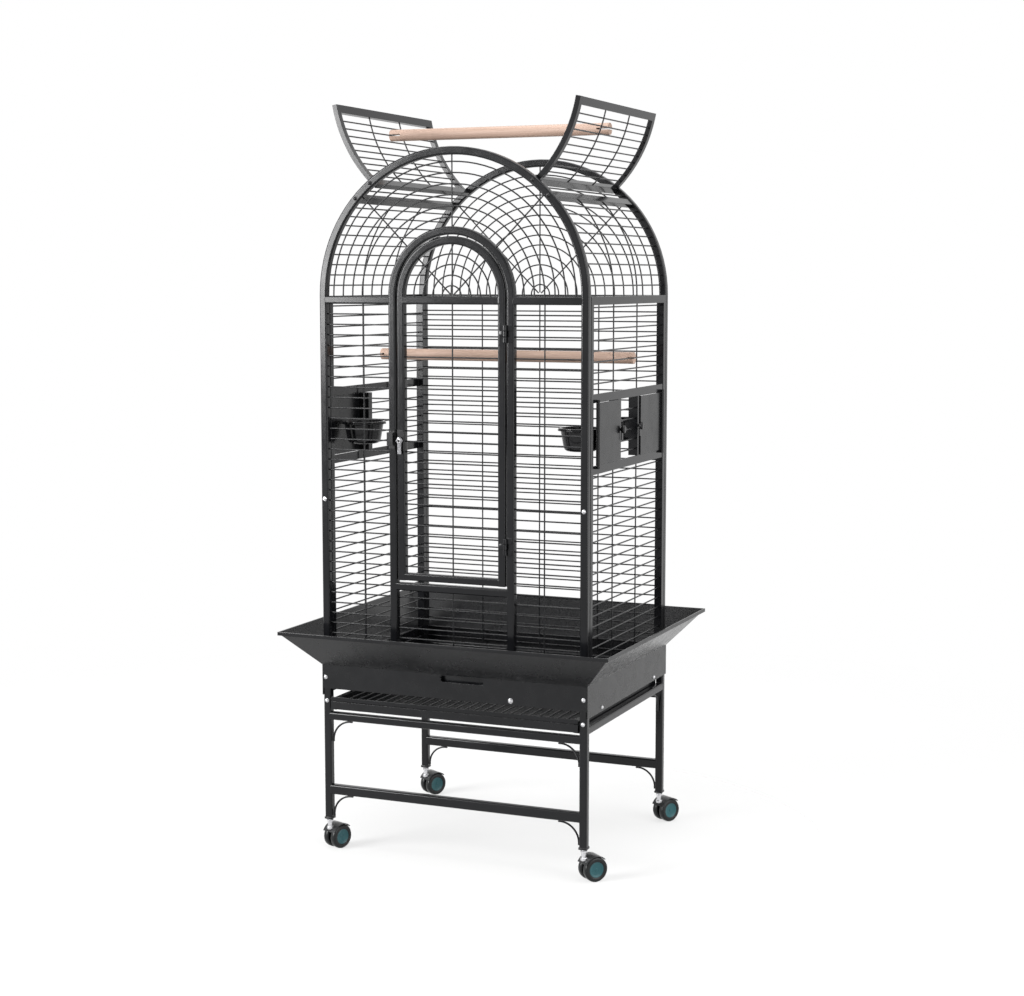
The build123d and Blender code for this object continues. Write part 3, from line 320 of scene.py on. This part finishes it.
def wire_tree():
    """Round rod along every chain of edges."""
    tree, start, end = geometry_tree("round_rod", ("Radius", "NodeSocketFloat"), ("Sides", "NodeSocketInt"))
    inputs = {"Resolution": start["Sides"], "Radius": start["Radius"]}
    ring = put(tree, "GeometryNodeCurvePrimitiveCircle", inputs).outputs["Curve"]
    return close_tree(tree, start, end, sweep(tree, start, ring))


def bar_tree():
    """A bar with rounded corners along every chain of edges, Wide across it and Thick up it."""
    tree, start, end = geometry_tree(
        "swept_bar",
        ("Wide", "NodeSocketFloat"), ("Thick", "NodeSocketFloat"), ("Corner", "NodeSocketFloat"),
    )
    inputs = {"Width": start["Wide"], "Height": start["Thick"]}
    outline = put(tree, "GeometryNodeCurvePrimitiveQuadrilateral", inputs).outputs["Curve"]
    inputs = {"Curve": outline, "Radius": start["Corner"], "Count": 4}
    soft = put(tree, "GeometryNodeFilletCurve", inputs, mode="POLY").outputs["Curve"]
    return close_tree(tree, start, end, sweep(tree, start, soft))


def bolt_tree():
    """A washer and a domed head on every point, facing along the point's own direction."""
    tree, start, end = geometry_tree("bolt_heads", ("Radius", "NodeSocketFloat"))
    washer = put(tree, "GeometryNodeMeshCylinder", {"Vertices": 20, "Radius": 1.0, "Depth": 0.36})
    dome = put(tree, "GeometryNodeMeshUVSphere", {"Segments": 20, "Rings": 12, "Radius": 0.78})
    inputs = {"Geometry": dome.outputs["Mesh"], "Scale": (1, 1, 0.85), "Translation": (0, 0, 0.16)}
    flat = put(tree, "GeometryNodeTransform", inputs)
    head = put(tree, "GeometryNodeJoinGeometry")
    feed(tree, washer.outputs["Mesh"], head.inputs["Geometry"])
    feed(tree, flat.outputs["Geometry"], head.inputs["Geometry"])
    facing = put(tree, "GeometryNodeInputNamedAttribute", {"Name": "facing"}, data_type="FLOAT_VECTOR")
    turn = put(tree, "FunctionNodeAlignRotationToVector", {"Vector": facing.outputs["Attribute"]}, axis="Z")
    size = put(tree, "ShaderNodeCombineXYZ", {axis: start["Radius"] for axis in "XYZ"})
    place = {
        "Points": put(tree, "GeometryNodeMeshToPoints", {"Mesh": start["Geometry"]}).outputs["Points"],
        "Instance": head.outputs["Geometry"],
        "Rotation": turn.outputs["Rotation"],
        "Scale": size.outputs["Vector"],
    }
    heads = put(tree, "GeometryNodeInstanceOnPoints", place).outputs["Instances"]
    return close_tree(tree, start, end, heads)


WIRE_TREE = wire_tree()
BAR_TREE = bar_tree()
BOLT_TREE = bolt_tree()


# Mesh helpers

def bring(name, data):
    made = bpy.data.objects.new(name, data)
    bpy.context.scene.collection.objects.link(made)
    return made


def add_mesh(name, points, edges=(), faces=(), finish=None):
    data = bpy.data.meshes.new(name)
    data.from_pydata([tuple(p) for p in points], list(edges), list(faces))
    if finish:
        data.materials.append(finish)
    return bring(name, data)


def outward(made, angle=35):
    """Consistent outward faces, smooth but for sharp corners."""
    work = bmesh.new()
    work.from_mesh(made.data)
    bmesh.ops.recalc_face_normals(work, faces=work.faces)
    work.to_mesh(made.data)
    work.free()
    made.data.shade_smooth()
    made.data.set_sharp_from_angle(angle=math.radians(angle))
    return made


def grow(made, tree, values, angle=35):
    """Runs a geometry tree on the object and keeps the plain mesh it makes."""
    run = made.modifiers.new("grow", "NODES")
    run.node_group = tree
    keys = {item.name: item.identifier for item in tree.interface.items_tree if item.in_out == "INPUT"}
    for label, value in values.items():
        run[keys[label]] = value
    made.update_tag()
    graph = bpy.context.evaluated_depsgraph_get()
    graph.update()
    baked = bpy.data.meshes.new_from_object(made.evaluated_get(graph), depsgraph=graph)
    made.modifiers.remove(run)
    baked.name = made.name
    made.data = baked
    return outward(made, angle)


def settle(made, body, slot, *replaced):
    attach(made, body)
    if replaced:
        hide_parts(*replaced)
    return made


def chains(lines):
    points, edges = [], []
    for line in lines:
        first = len(points)
        points += line
        edges += [(first + i, first + i + 1) for i in range(len(line) - 1)]
    return points, edges


def lathe(name, profile, place, finish, around, closed=False):
    """Turns (radius, height) pairs about Z and sets the result in place."""
    turns = [2 * math.pi * i / around for i in range(around)]
    points, faces, rings = [], [], []
    for radius, height in profile:
        if radius == 0:
            rings.append([len(points)] * around)
            points.append((0, 0, height))
        else:
            rings.append(list(range(len(points), len(points) + around)))
            points += [(radius * math.cos(turn), radius * math.sin(turn), height) for turn in turns]
    pairs = list(zip(rings, rings[1:]))
    if closed:
        pairs.append((rings[-1], rings[0]))
    for low, high in pairs:
        for i in range(around):
            j = (i + 1) % around
            face = list(dict.fromkeys((low[i], low[j], high[j], high[i])))
            if len(face) > 2:
                faces.append(face)
    made = add_mesh(name, points, faces=faces, finish=finish)
    made.data.transform(place)
    return outward(made)


def slab(name, low, high, finish, bevel):
    """A box with rounded edges."""
    work = bmesh.new()
    bmesh.ops.create_cube(work, size=1.0)
    for vertex in work.verts:
        vertex.co = Vector([a + (b - a) * (c + 0.5) for c, a, b in zip(vertex.co, low, high)])
    bmesh.ops.bevel(work, geom=work.edges[:], offset=bevel, segments=3, profile=0.5, affect="EDGES")
    data = bpy.data.meshes.new(name)
    work.to_mesh(data)
    work.free()
    data.materials.append(finish)
    return outward(bring(name, data))


def merge(name, pieces):
    """One mesh out of several, with their materials."""
    work, finishes = bmesh.new(), []
    for piece in pieces:
        for finish in piece.data.materials:
            if finish not in finishes:
                finishes.append(finish)
        picks = [finishes.index(finish) for finish in piece.data.materials]
        before = len(work.faces)
        work.from_mesh(piece.data)
        work.faces.ensure_lookup_table()
        for face in work.faces[before:]:
            face.material_index = picks[face.material_index]
    data = bpy.data.meshes.new(name)
    work.to_mesh(data)
    work.free()
    for finish in finishes:
        data.materials.append(finish)
    for piece in pieces:
        bpy.data.objects.remove(piece)
    return bring(name, data)


# Round wires on the centre lines of the frame's own square wires
BOX_CORNERS = 8
BEND_DEGREES = 4
BEND_STEPS_LEAST = 8
WIRE_REACH = 0.0006
WIRE_SIDES = 10


def bar_corners(mesh):
    """The corner points of each separate bar in a node's mesh."""
    where = np.array([v.co for v in mesh.vertices], float)
    _, label = np.unique(np.round(where, 6), axis=0, return_inverse=True)
    label = label.reshape(-1)
    parent = list(range(label.max() + 1))

    def root(i):
        while parent[i] != i:
            parent[i] = parent[parent[i]]
            i = parent[i]
        return i

    for face in mesh.polygons:
        first = root(label[face.vertices[0]])
        for corner in face.vertices[1:]:
            parent[root(label[corner])] = first
    bars = {}
    for i, spot in enumerate(label):
        bars.setdefault(root(spot), {})[spot] = where[i]
    return [np.array(list(bar.values())) for bar in bars.values()]


def centre_line(points):
    """A straight line through a plain bar, and an arc fitted to a bent one."""
    middle = points.mean(0)
    if len(points) <= BOX_CORNERS:
        direction = np.linalg.svd(points - middle)[2][0]
        half = np.abs((points - middle) @ direction).max() + WIRE_REACH
        return [tuple(middle - half * direction), tuple(middle + half * direction)]
    flat = int(np.argmin(np.ptp(points, axis=0)))
    a, b = [k for k in range(3) if k != flat]
    u, v = points[:, a], points[:, b]
    fit = np.linalg.lstsq(np.c_[u, v, np.ones(len(u))], u * u + v * v, rcond=None)[0]
    centre = fit[:2] / 2
    radius = np.hypot(u - centre[0], v - centre[1]).mean()
    turn = np.sort(np.arctan2(v - centre[1], u - centre[0]))
    gaps = np.diff(np.r_[turn, turn[0] + 2 * math.pi])
    cut = int(np.argmax(gaps))
    start, span = turn[(cut + 1) % len(turn)], 2 * math.pi - gaps[cut]
    count = max(BEND_STEPS_LEAST, math.ceil(math.degrees(span) / BEND_DEGREES))
    line = []
    for i in range(count + 1):
        spot = [0.0, 0.0, 0.0]
        spot[a] = centre[0] + radius * math.cos(start + span * i / count)
        spot[b] = centre[1] + radius * math.sin(start + span * i / count)
        spot[flat] = middle[flat]
        line.append(tuple(spot))
    return line


def round_wires(node, body, radius=WIRE_R):
    lines = [centre_line(points) for points in bar_corners(nodes[node].data)]
    made = add_mesh("round_" + node, *chains(lines))
    grow(made, WIRE_TREE, {"Radius": radius, "Sides": WIRE_SIDES, "Finish": WIRES}, angle=50)
    settle(made, body, "black_coat", node)


for node in ("front_wires", "front_fan", "rear_wires", "rear_fan"):
    round_wires(node, "cage")
for node in ("side_wires_left", "side_wires_right", "roof_bends_left", "roof_bends_right"):
    round_wires(node, "cage")
round_wires("stand_gussets", "cage", GUSSET_R)
round_wires("door_wires", "door")
round_wires("door_fan", "door")
round_wires("grate_wires", "grate")
round_wires("flap_wires_left", "flap_left")
round_wires("flap_wires_right", "flap_right")


# Square tubes with rounded corners, in place of the frame's sharp ones
CORNER = 0.0032
LET_IN = 0.0030
ARCH_STEPS = 48
ROUNDING_DEGREES = (8, 16)


def tube(name, lines, wide=TUBE, thick=TUBE):
    made = add_mesh(name, *chains(lines))
    grow(made, BAR_TREE, {"Wide": wide, "Thick": thick, "Corner": CORNER, "Finish": BLACK}, angle=40)
    # The flats stay flat up to where the corner's rounding begins
    work = bmesh.new()
    work.from_mesh(made.data)
    for edge in work.edges:
        if ROUNDING_DEGREES[0] < math.degrees(edge.calc_face_angle(0)) < ROUNDING_DEGREES[1]:
            edge.smooth = False
    work.to_mesh(made.data)
    work.free()
    return made


def arch(half, foot, y):
    """Up one side, over the half-round top and down the other side."""
    over = [math.pi * i / ARCH_STEPS for i in range(ARCH_STEPS + 1)]
    line = [(-half * math.cos(turn), y, SPRING + half * math.sin(turn)) for turn in over]
    return [(-half, y, foot)] + line + [(half, y, foot)]


def straight_tubes(node, body):
    """Each box of the node as a tube, its ends let into the rounded corners it meets."""
    pieces = []
    for points in bar_corners(nodes[node].data):
        low, high = points.min(0), points.max(0)
        along = int(np.argmax(high - low))
        wide, thick = [float(high[k] - low[k]) for k in range(3) if k != along]
        first, last = (low + high) / 2, (low + high) / 2
        first[along] = low[along] - LET_IN
        last[along] = high[along] + LET_IN
        pieces.append(tube("rail", [[tuple(first), tuple(last)]], wide, thick))
    settle(merge("round_" + node, pieces), body, "black_coat", node)


for node, y in (("front_arch", -LEG_Y), ("rear_arch", LEG_Y)):
    settle(tube("round_" + node, [arch(POST_X, STAND_TOP, y)]), "cage", "black_coat", node)
for node in ("front_rails", "rear_rails", "stand_rails"):
    straight_tubes(node, "cage")
for node, side in (("stand_left", -1), ("stand_right", 1)):
    legs = [[(side * LEG_X, y, LEG_FOOT), (side * LEG_X, y, STAND_TOP)] for y in (-LEG_Y, LEG_Y)]
    reach = LEG_Y - TUBE / 2 + LET_IN
    rail = [(side * LEG_X, -reach, SIDE_RAIL), (side * LEG_X, reach, SIDE_RAIL)]
    settle(merge("round_" + node, [tube("legs", legs), tube("rail", [rail])]), "cage", "black_coat", node)


# Door jamb and door, with the flat leaves of their two hinges
KNUCKLE = 0.011
KNUCKLE_FEET = [height + rise for height in HINGES for rise in (-0.017, 0.006)]
LEAF_X = (0.1165, 0.132)
STRAP_X = (0.105, 0.1205)
STRAP_HALF = 0.0056
LEAF_Y = (-0.240, -0.2375)
LEAF_EDGE = 0.0005


def hinge_leaf(name, across, foot, top):
    return slab(name, (across[0], LEAF_Y[0], foot), (across[1], LEAF_Y[1], top), BLACK, LEAF_EDGE)


leaves = [hinge_leaf("leaf", LEAF_X, foot, foot + KNUCKLE) for foot in KNUCKLE_FEET]
straps = [hinge_leaf("strap", STRAP_X, height - STRAP_HALF, height + STRAP_HALF) for height in HINGES]
jamb = tube("jamb", [arch(JAMB_X, STAND_TOP, -LEG_Y)])
settle(merge("round_door_jamb", [jamb] + leaves), "cage", "black_coat", "door_jamb")
reach = DOOR_X - TUBE / 2 + LET_IN
bar_z = SPRING - TUBE / 2
sill = tube("sill", [[(-reach, -LEG_Y, SILL_Z), (reach, -LEG_Y, SILL_Z)]], TUBE, SILL_TALL)
bar = tube("bar", [[(-reach, -LEG_Y, bar_z), (reach, -LEG_Y, bar_z)]])
rim = tube("rim", [arch(DOOR_X, DOOR_FOOT, -LEG_Y)])
settle(merge("round_door_frame", [rim, sill, bar] + straps), "door", "black_coat", "door_frame")


# Bolts, the knob on the base, and a dark sheet behind its finger slot that closes it as a shallow recess and
# stands in for the shade inside it
FRONT = (0, -1, 0)
REAR = (0, 1, 0)
BOLT_R = 0.0042
ARCH_BOLT_TURNS = (43, 52)
POST_BOLT_Z = 0.734
LEG_BOLT_Z = 0.3165
BASE_BOLT = (0.2835, 0.3655)
SIDE_BOLT = (0.2915, 0.158, 0.336)
GUARD_KNOB = (0.1295, 0.351)
GUARD_KNOB_R = 0.0052
# A sheet just behind the finger slot: painted shade, a dark stand-in for the shadowed inside of the slot
# instead of the open view through it
SLOT_SHADE_BACK = ((-0.026, -0.2303, 0.3735), (0.072, -0.2293, 0.3945))
SLOT_SHADE_BACK_EDGE = 0.0003


def bolts(name, body, spots, radius, finish=ZINC, slot="bright_metal"):
    """spots holds (place, direction) pairs."""
    made = add_mesh(name, [place for place, _ in spots])
    facing = made.data.attributes.new("facing", "FLOAT_VECTOR", "POINT")
    facing.data.foreach_set("vector", [x for _, direction in spots for x in direction])
    grow(made, BOLT_TREE, {"Radius": radius, "Finish": finish})
    settle(made, body, slot)


def through(x, z):
    """A bolt's two heads, at front and rear."""
    return [((x, FRONT_Y, z), FRONT), ((x, -FRONT_Y, z), REAR)]


arch_bolts, frame_bolts = [], []
for side in (-1, 1):
    for angle in ARCH_BOLT_TURNS:
        turn = math.radians(angle)
        arch_bolts += through(side * ARCH_R * math.cos(turn), SPRING + ARCH_R * math.sin(turn))
    frame_bolts += through(side * POST_X, POST_BOLT_Z)
    frame_bolts.append(((side * BASE_BOLT[0], FRONT_Y - SHEET_T, BASE_BOLT[1]), FRONT))
    frame_bolts += through(side * LEG_X, LEG_BOLT_Z)
    for y in (SIDE_BOLT[1], -SIDE_BOLT[1]):
        frame_bolts.append(((side * SIDE_BOLT[0], y, SIDE_BOLT[2]), (side, 0, 0)))
bolts("frame_bolts", "cage", frame_bolts, BOLT_R)
bolts("arch_bolts", "cage", arch_bolts, BOLT_R, CATCH, "latch_black")
# Painted shade: this sheet closes the finger slot so it reads dark, in place of the open view into the base
settle(slab("slot_shade_back", *SLOT_SHADE_BACK, SHEET, SLOT_SHADE_BACK_EDGE), "cage", "black_sheet")
bolts("guard_knob", "cage", [((GUARD_KNOB[0], FRONT_Y - SHEET_T, GUARD_KNOB[1]), FRONT)], GUARD_KNOB_R)


# Casters: lathe-turned twin wheels with coloured dishes, a swept hood and a bright stem
CASTER_TURN = {"fl": -20, "fr": -40, "rl": -30, "rr": -30}
WHEEL_R = 0.025
TRAIL = 0.020
TYRE = [
    (0.0042, 0.0032), (0.0205, 0.0034), (0.0232, 0.0042), (0.0246, 0.0058), (0.025, 0.008),
    (0.025, 0.0128), (0.0246, 0.0148), (0.0234, 0.0163), (0.0215, 0.01695), (0.0168, 0.0169),
    (0.0158, 0.0162), (0.0154, 0.0142), (0.0042, 0.0142),
]
DISH = [
    (0.0, 0.0152), (0.0026, 0.0153), (0.0032, 0.0146), (0.0098, 0.01465), (0.0133, 0.0153), (0.0148, 0.0162),
    (0.0155, 0.0162), (0.0155, 0.0138), (0.0, 0.0138),
]
AXLE = [(0.0, -0.0145), (0.003, -0.0145), (0.003, 0.0145), (0.0, 0.0145)]
STEM = [
    (0.0, 0.0425), (0.0062, 0.0425), (0.0062, 0.0475), (0.0052, 0.0484), (0.0052, 0.0585), (0.0068, 0.0592),
    (0.0068, 0.0628), (0.005, 0.0634), (0.005, 0.0672), (0.0, 0.0672),
]
COLLAR = [(0.0, 0.0425), (0.0058, 0.0425), (0.007, 0.0437), (0.007, 0.0478), (0.0062, 0.0488), (0.0, 0.0488)]
BOSS = [(0.0, -0.0023), (0.009, -0.0023), (0.009, 0.0023), (0.0, 0.0023)]
HOOD_BAND = {"Wide": 0.0355, "Thick": 0.0018, "Corner": 0.0006, "Finish": HOOD}
HOOD_R = 0.0267
HOOD_START = 46
HOOD_SWEEP = 108
HOOD_STEPS = 28
WEB_R = 0.026
WEB_HALF = 0.0023
CAP_HALF = 0.009
CAP_Z = (0.0652, 0.0705)
CAP_EDGE = 0.0016

for spot, (sx, sy) in SPOTS.items():
    x, y = sx * LEG_X, sy * LEG_Y
    stand = Matrix.Translation((x, y, 0)) @ Matrix.Rotation(math.radians(CASTER_TURN[spot]), 4, "Z")
    hub = stand @ Matrix.Translation((0, TRAIL, WHEEL_R))
    faces_out = [hub @ Matrix.Rotation(math.radians(turn), 4, "Y") for turn in (90, -90)]
    wheels = [lathe("tyre", TYRE, place, TREAD, around=64, closed=True) for place in faces_out]
    wheels += [lathe("dish", DISH, place, TEAL, around=64) for place in faces_out]
    wheels.append(lathe("axle", AXLE, faces_out[0], ZINC, around=20))
    settle(merge("wheels_round_" + spot, wheels), "wheels_" + spot, "wheel_tread", "caster_wheels_" + spot)

    over = [math.radians(HOOD_START + HOOD_SWEEP * i / HOOD_STEPS) for i in range(HOOD_STEPS + 1)]
    arc = [hub @ Vector((0, HOOD_R * math.cos(turn), HOOD_R * math.sin(turn))) for turn in over]
    band = add_mesh("band", *chains([arc]))
    grow(band, BAR_TREE, HOOD_BAND, angle=40)
    corners = []
    for half in (-WEB_HALF, WEB_HALF):
        corners.append(hub @ Vector((half, 0, 0)))
        corners += [hub @ Vector((half, WEB_R * math.cos(turn), WEB_R * math.sin(turn))) for turn in over]
    count = len(over) + 1
    faces = [tuple(range(count)), tuple(range(2 * count - 1, count - 1, -1))]
    faces += [(i, (i + 1) % count, count + (i + 1) % count, count + i) for i in range(count)]
    web = outward(add_mesh("web", corners, faces=faces, finish=HOOD))
    boss = lathe("boss", BOSS, faces_out[0], HOOD, around=32)
    collar = lathe("collar", COLLAR, stand, ZINC, around=32)
    stem = lathe("stem", STEM, stand, ZINC, around=32)
    hood = merge("hood_round_" + spot, [band, web, boss, collar, stem])
    settle(hood, "caster_" + spot, "caster_plastic", "caster_hood_" + spot)
    low = (x - CAP_HALF, y - CAP_HALF, CAP_Z[0])
    high = (x + CAP_HALF, y + CAP_HALF, CAP_Z[1])
    settle(slab("leg_cap_" + spot, low, high, CATCH, CAP_EDGE), "cage", "latch_black")


# Feeder bowls, and the turn knobs with their tongues
BOWL_PLACE = (0.2395, 0.1445, 0.842)
BOWL_PROFILE = [
    (0.0, 0.0008), (0.022, 0.0007), (0.0245, 0.0), (0.0285, 0.0009), (0.0318, 0.0032), (0.0337, 0.0066),
    (0.0349, 0.0112), (0.0372, 0.0236), (0.0402, 0.0405), (0.0408, 0.0427), (0.0446, 0.0432), (0.045, 0.0442),
    (0.0447, 0.0455), (0.0435, 0.046), (0.0398, 0.0459), (0.0386, 0.0446), (0.0352, 0.0236), (0.0329, 0.0118),
    (0.0316, 0.0076), (0.0296, 0.0046), (0.0268, 0.0028), (0.022, 0.0022), (0.0, 0.0022),
]
KNOB_PROFILE = [
    (0.0, 0.0), (0.0066, 0.0), (0.0074, 0.0008), (0.008, 0.002), (0.008, 0.0038), (0.0074, 0.0052),
    (0.006, 0.006), (0.0, 0.006),
]
KNOB_Y = 0.0545
KNOB_Z = 0.88
TONGUE_T = 0.002
TONGUE_HALF = 0.0045
TONGUE_Z = (0.859, 0.885)
TONGUE_EDGE = 0.0006

for spot in FEEDERS:
    sx, sy = SPOTS[spot]
    place = Matrix.Translation((sx * BOWL_PLACE[0], sy * BOWL_PLACE[1], BOWL_PLACE[2]))
    bowl = lathe("bowl_round_" + spot, BOWL_PROFILE, place, BOWL, around=72)
    settle(bowl, "bowl_" + spot, "bowl_plastic", "bowl_" + spot)
    low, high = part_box("feeder_knob_" + spot)
    foot = low.x if sx > 0 else high.x
    face = foot + sx * TONGUE_T
    y = sy * KNOB_Y
    place = Matrix.Translation((face, y, KNOB_Z)) @ Matrix.Rotation(sx * math.radians(90), 4, "Y")
    knob = lathe("knob", KNOB_PROFILE, place, CATCH, around=36)
    low = (min(foot, face), y - TONGUE_HALF, TONGUE_Z[0])
    high = (max(foot, face), y + TONGUE_HALF, TONGUE_Z[1])
    tongue = slab("tongue", low, high, CATCH, TONGUE_EDGE)
    settle(merge("knob_round_" + spot, [knob, tongue]), "knob_" + spot, "latch_black", "feeder_knob_" + spot)


# Smooth sleeves on the hinge knuckles, and the latch's rivet
SLEEVE = [(0.0, 0.0), (0.0036, 0.0), (0.0041, 0.0005), (0.0041, 0.0105), (0.0036, 0.011), (0.0, 0.011)]
SLEEVE_Y = -0.2422
RIVET = (-0.109, -0.2462, 0.859)
RIVET_R = 0.0038


def sleeves(name, feet):
    places = [Matrix.Translation((HINGE_X, SLEEVE_Y, foot)) for foot in feet]
    return merge(name, [lathe("sleeve", SLEEVE, place, BLACK, around=24) for place in places])


settle(sleeves("hinge_sleeves", KNUCKLE_FEET), "cage", "black_coat")
door_feet = [height - KNUCKLE / 2 for height in HINGES]
settle(sleeves("hinge_sleeves_door", door_feet), "door", "black_coat")
bolts("latch_rivet", "latch", [(RIVET, FRONT)], RIVET_R)


# Stage: a pale floor that fades into the white surround, lit from the right, from above and from front left
FLOOR_HALF = 6
WHITE = (1, 1, 1, 1)

corners = [(sx * FLOOR_HALF, sy * FLOOR_HALF, 0) for sx, sy in ((-1, -1), (1, -1), (1, 1), (-1, 1))]
floor = add_mesh("floor", corners, faces=[(0, 1, 2, 3)])
paint = bpy.data.materials.new("floor_white")
paint.use_nodes = True
tree = paint.node_tree
shader = tree.nodes["Principled BSDF"]
where = put(tree, "ShaderNodeTexCoord").outputs["Object"]
pale = blend_colours(tree, noise(tree, where, 3, 3), (0.9, 0.9, 0.895, 1), (0.93, 0.93, 0.925, 1))
feed(tree, pale, shader.inputs["Base Color"])
shader.inputs["Roughness"].default_value = 0.85
away = put(tree, "ShaderNodeVectorMath", operation="LENGTH")
feed(tree, where, away.inputs[0])
clear = put(tree, "ShaderNodeBsdfTransparent")
fade = put(tree, "ShaderNodeMixShader")
feed(tree, spread(tree, away.outputs["Value"], 0.5, 2.2, 0.7, 1.0), fade.inputs["Fac"])
feed(tree, shader.outputs["BSDF"], fade.inputs[1])
feed(tree, clear.outputs["BSDF"], fade.inputs[2])
feed(tree, fade.outputs["Shader"], tree.nodes["Material Output"].inputs["Surface"])
floor.data.materials.append(paint)
floor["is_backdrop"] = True

world = bpy.context.scene.world or bpy.data.worlds.new("studio")
bpy.context.scene.world = world
world.use_nodes = True
tree = world.node_tree
tree.nodes.clear()
compass = put(tree, "ShaderNodeTexCoord").outputs["Generated"]
behind = put(tree, "ShaderNodeSeparateXYZ", {"Vector": compass}).outputs["Y"]
level = spread(tree, behind, -0.4, 0.6, 0.2, 0.62)
room = put(tree, "ShaderNodeBackground", {"Color": WHITE, "Strength": level})
backdrop = put(tree, "ShaderNodeBackground", {"Color": WHITE, "Strength": 1.0})
rays = put(tree, "ShaderNodeLightPath").outputs
mirrored = combine(tree, "MAXIMUM", rays["Is Glossy Ray"], rays["Is Transmission Ray"])
either = put(tree, "ShaderNodeMixShader")
feed(tree, combine(tree, "MAXIMUM", rays["Is Camera Ray"], mirrored), either.inputs["Fac"])
feed(tree, room.outputs["Background"], either.inputs[1])
feed(tree, backdrop.outputs["Background"], either.inputs[2])
put(tree, "ShaderNodeOutputWorld", {"Surface": either.outputs["Shader"]})


def softbox(name, place, target, wide, tall, power):
    data = bpy.data.lights.new(name, "AREA")
    data.shape = "RECTANGLE"
    data.size = wide
    data.size_y = tall
    data.energy = power
    made = bring(name, data)
    made.location = place
    made.rotation_euler = (Vector(target) - Vector(place)).to_track_quat("-Z", "Y").to_euler()


softbox("key_right", (3.0, -0.6, 1.5), (0, 0, 0.8), wide=2.6, tall=2.8, power=70)
softbox("top", (0.0, -0.2, 3.6), (0, 0, 0.8), wide=3.2, tall=3.2, power=90)
softbox("window_left", (-2.8, -3.25, 1.85), (0, 0, 1.2), wide=1.9, tall=2.0, power=275)

eye = bpy.data.cameras.new("camera")
eye.sensor_width = 36
eye.lens = 67.89
eye.clip_end = 100
camera = bring("camera", eye)
camera.location = (1.597, -3.683, 1.1807)
camera.rotation_euler = (math.radians(83.5), 0, math.radians(23.04))
bpy.context.scene.camera = camera
bpy.context.scene.view_settings.view_transform = "Standard"

low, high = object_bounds()
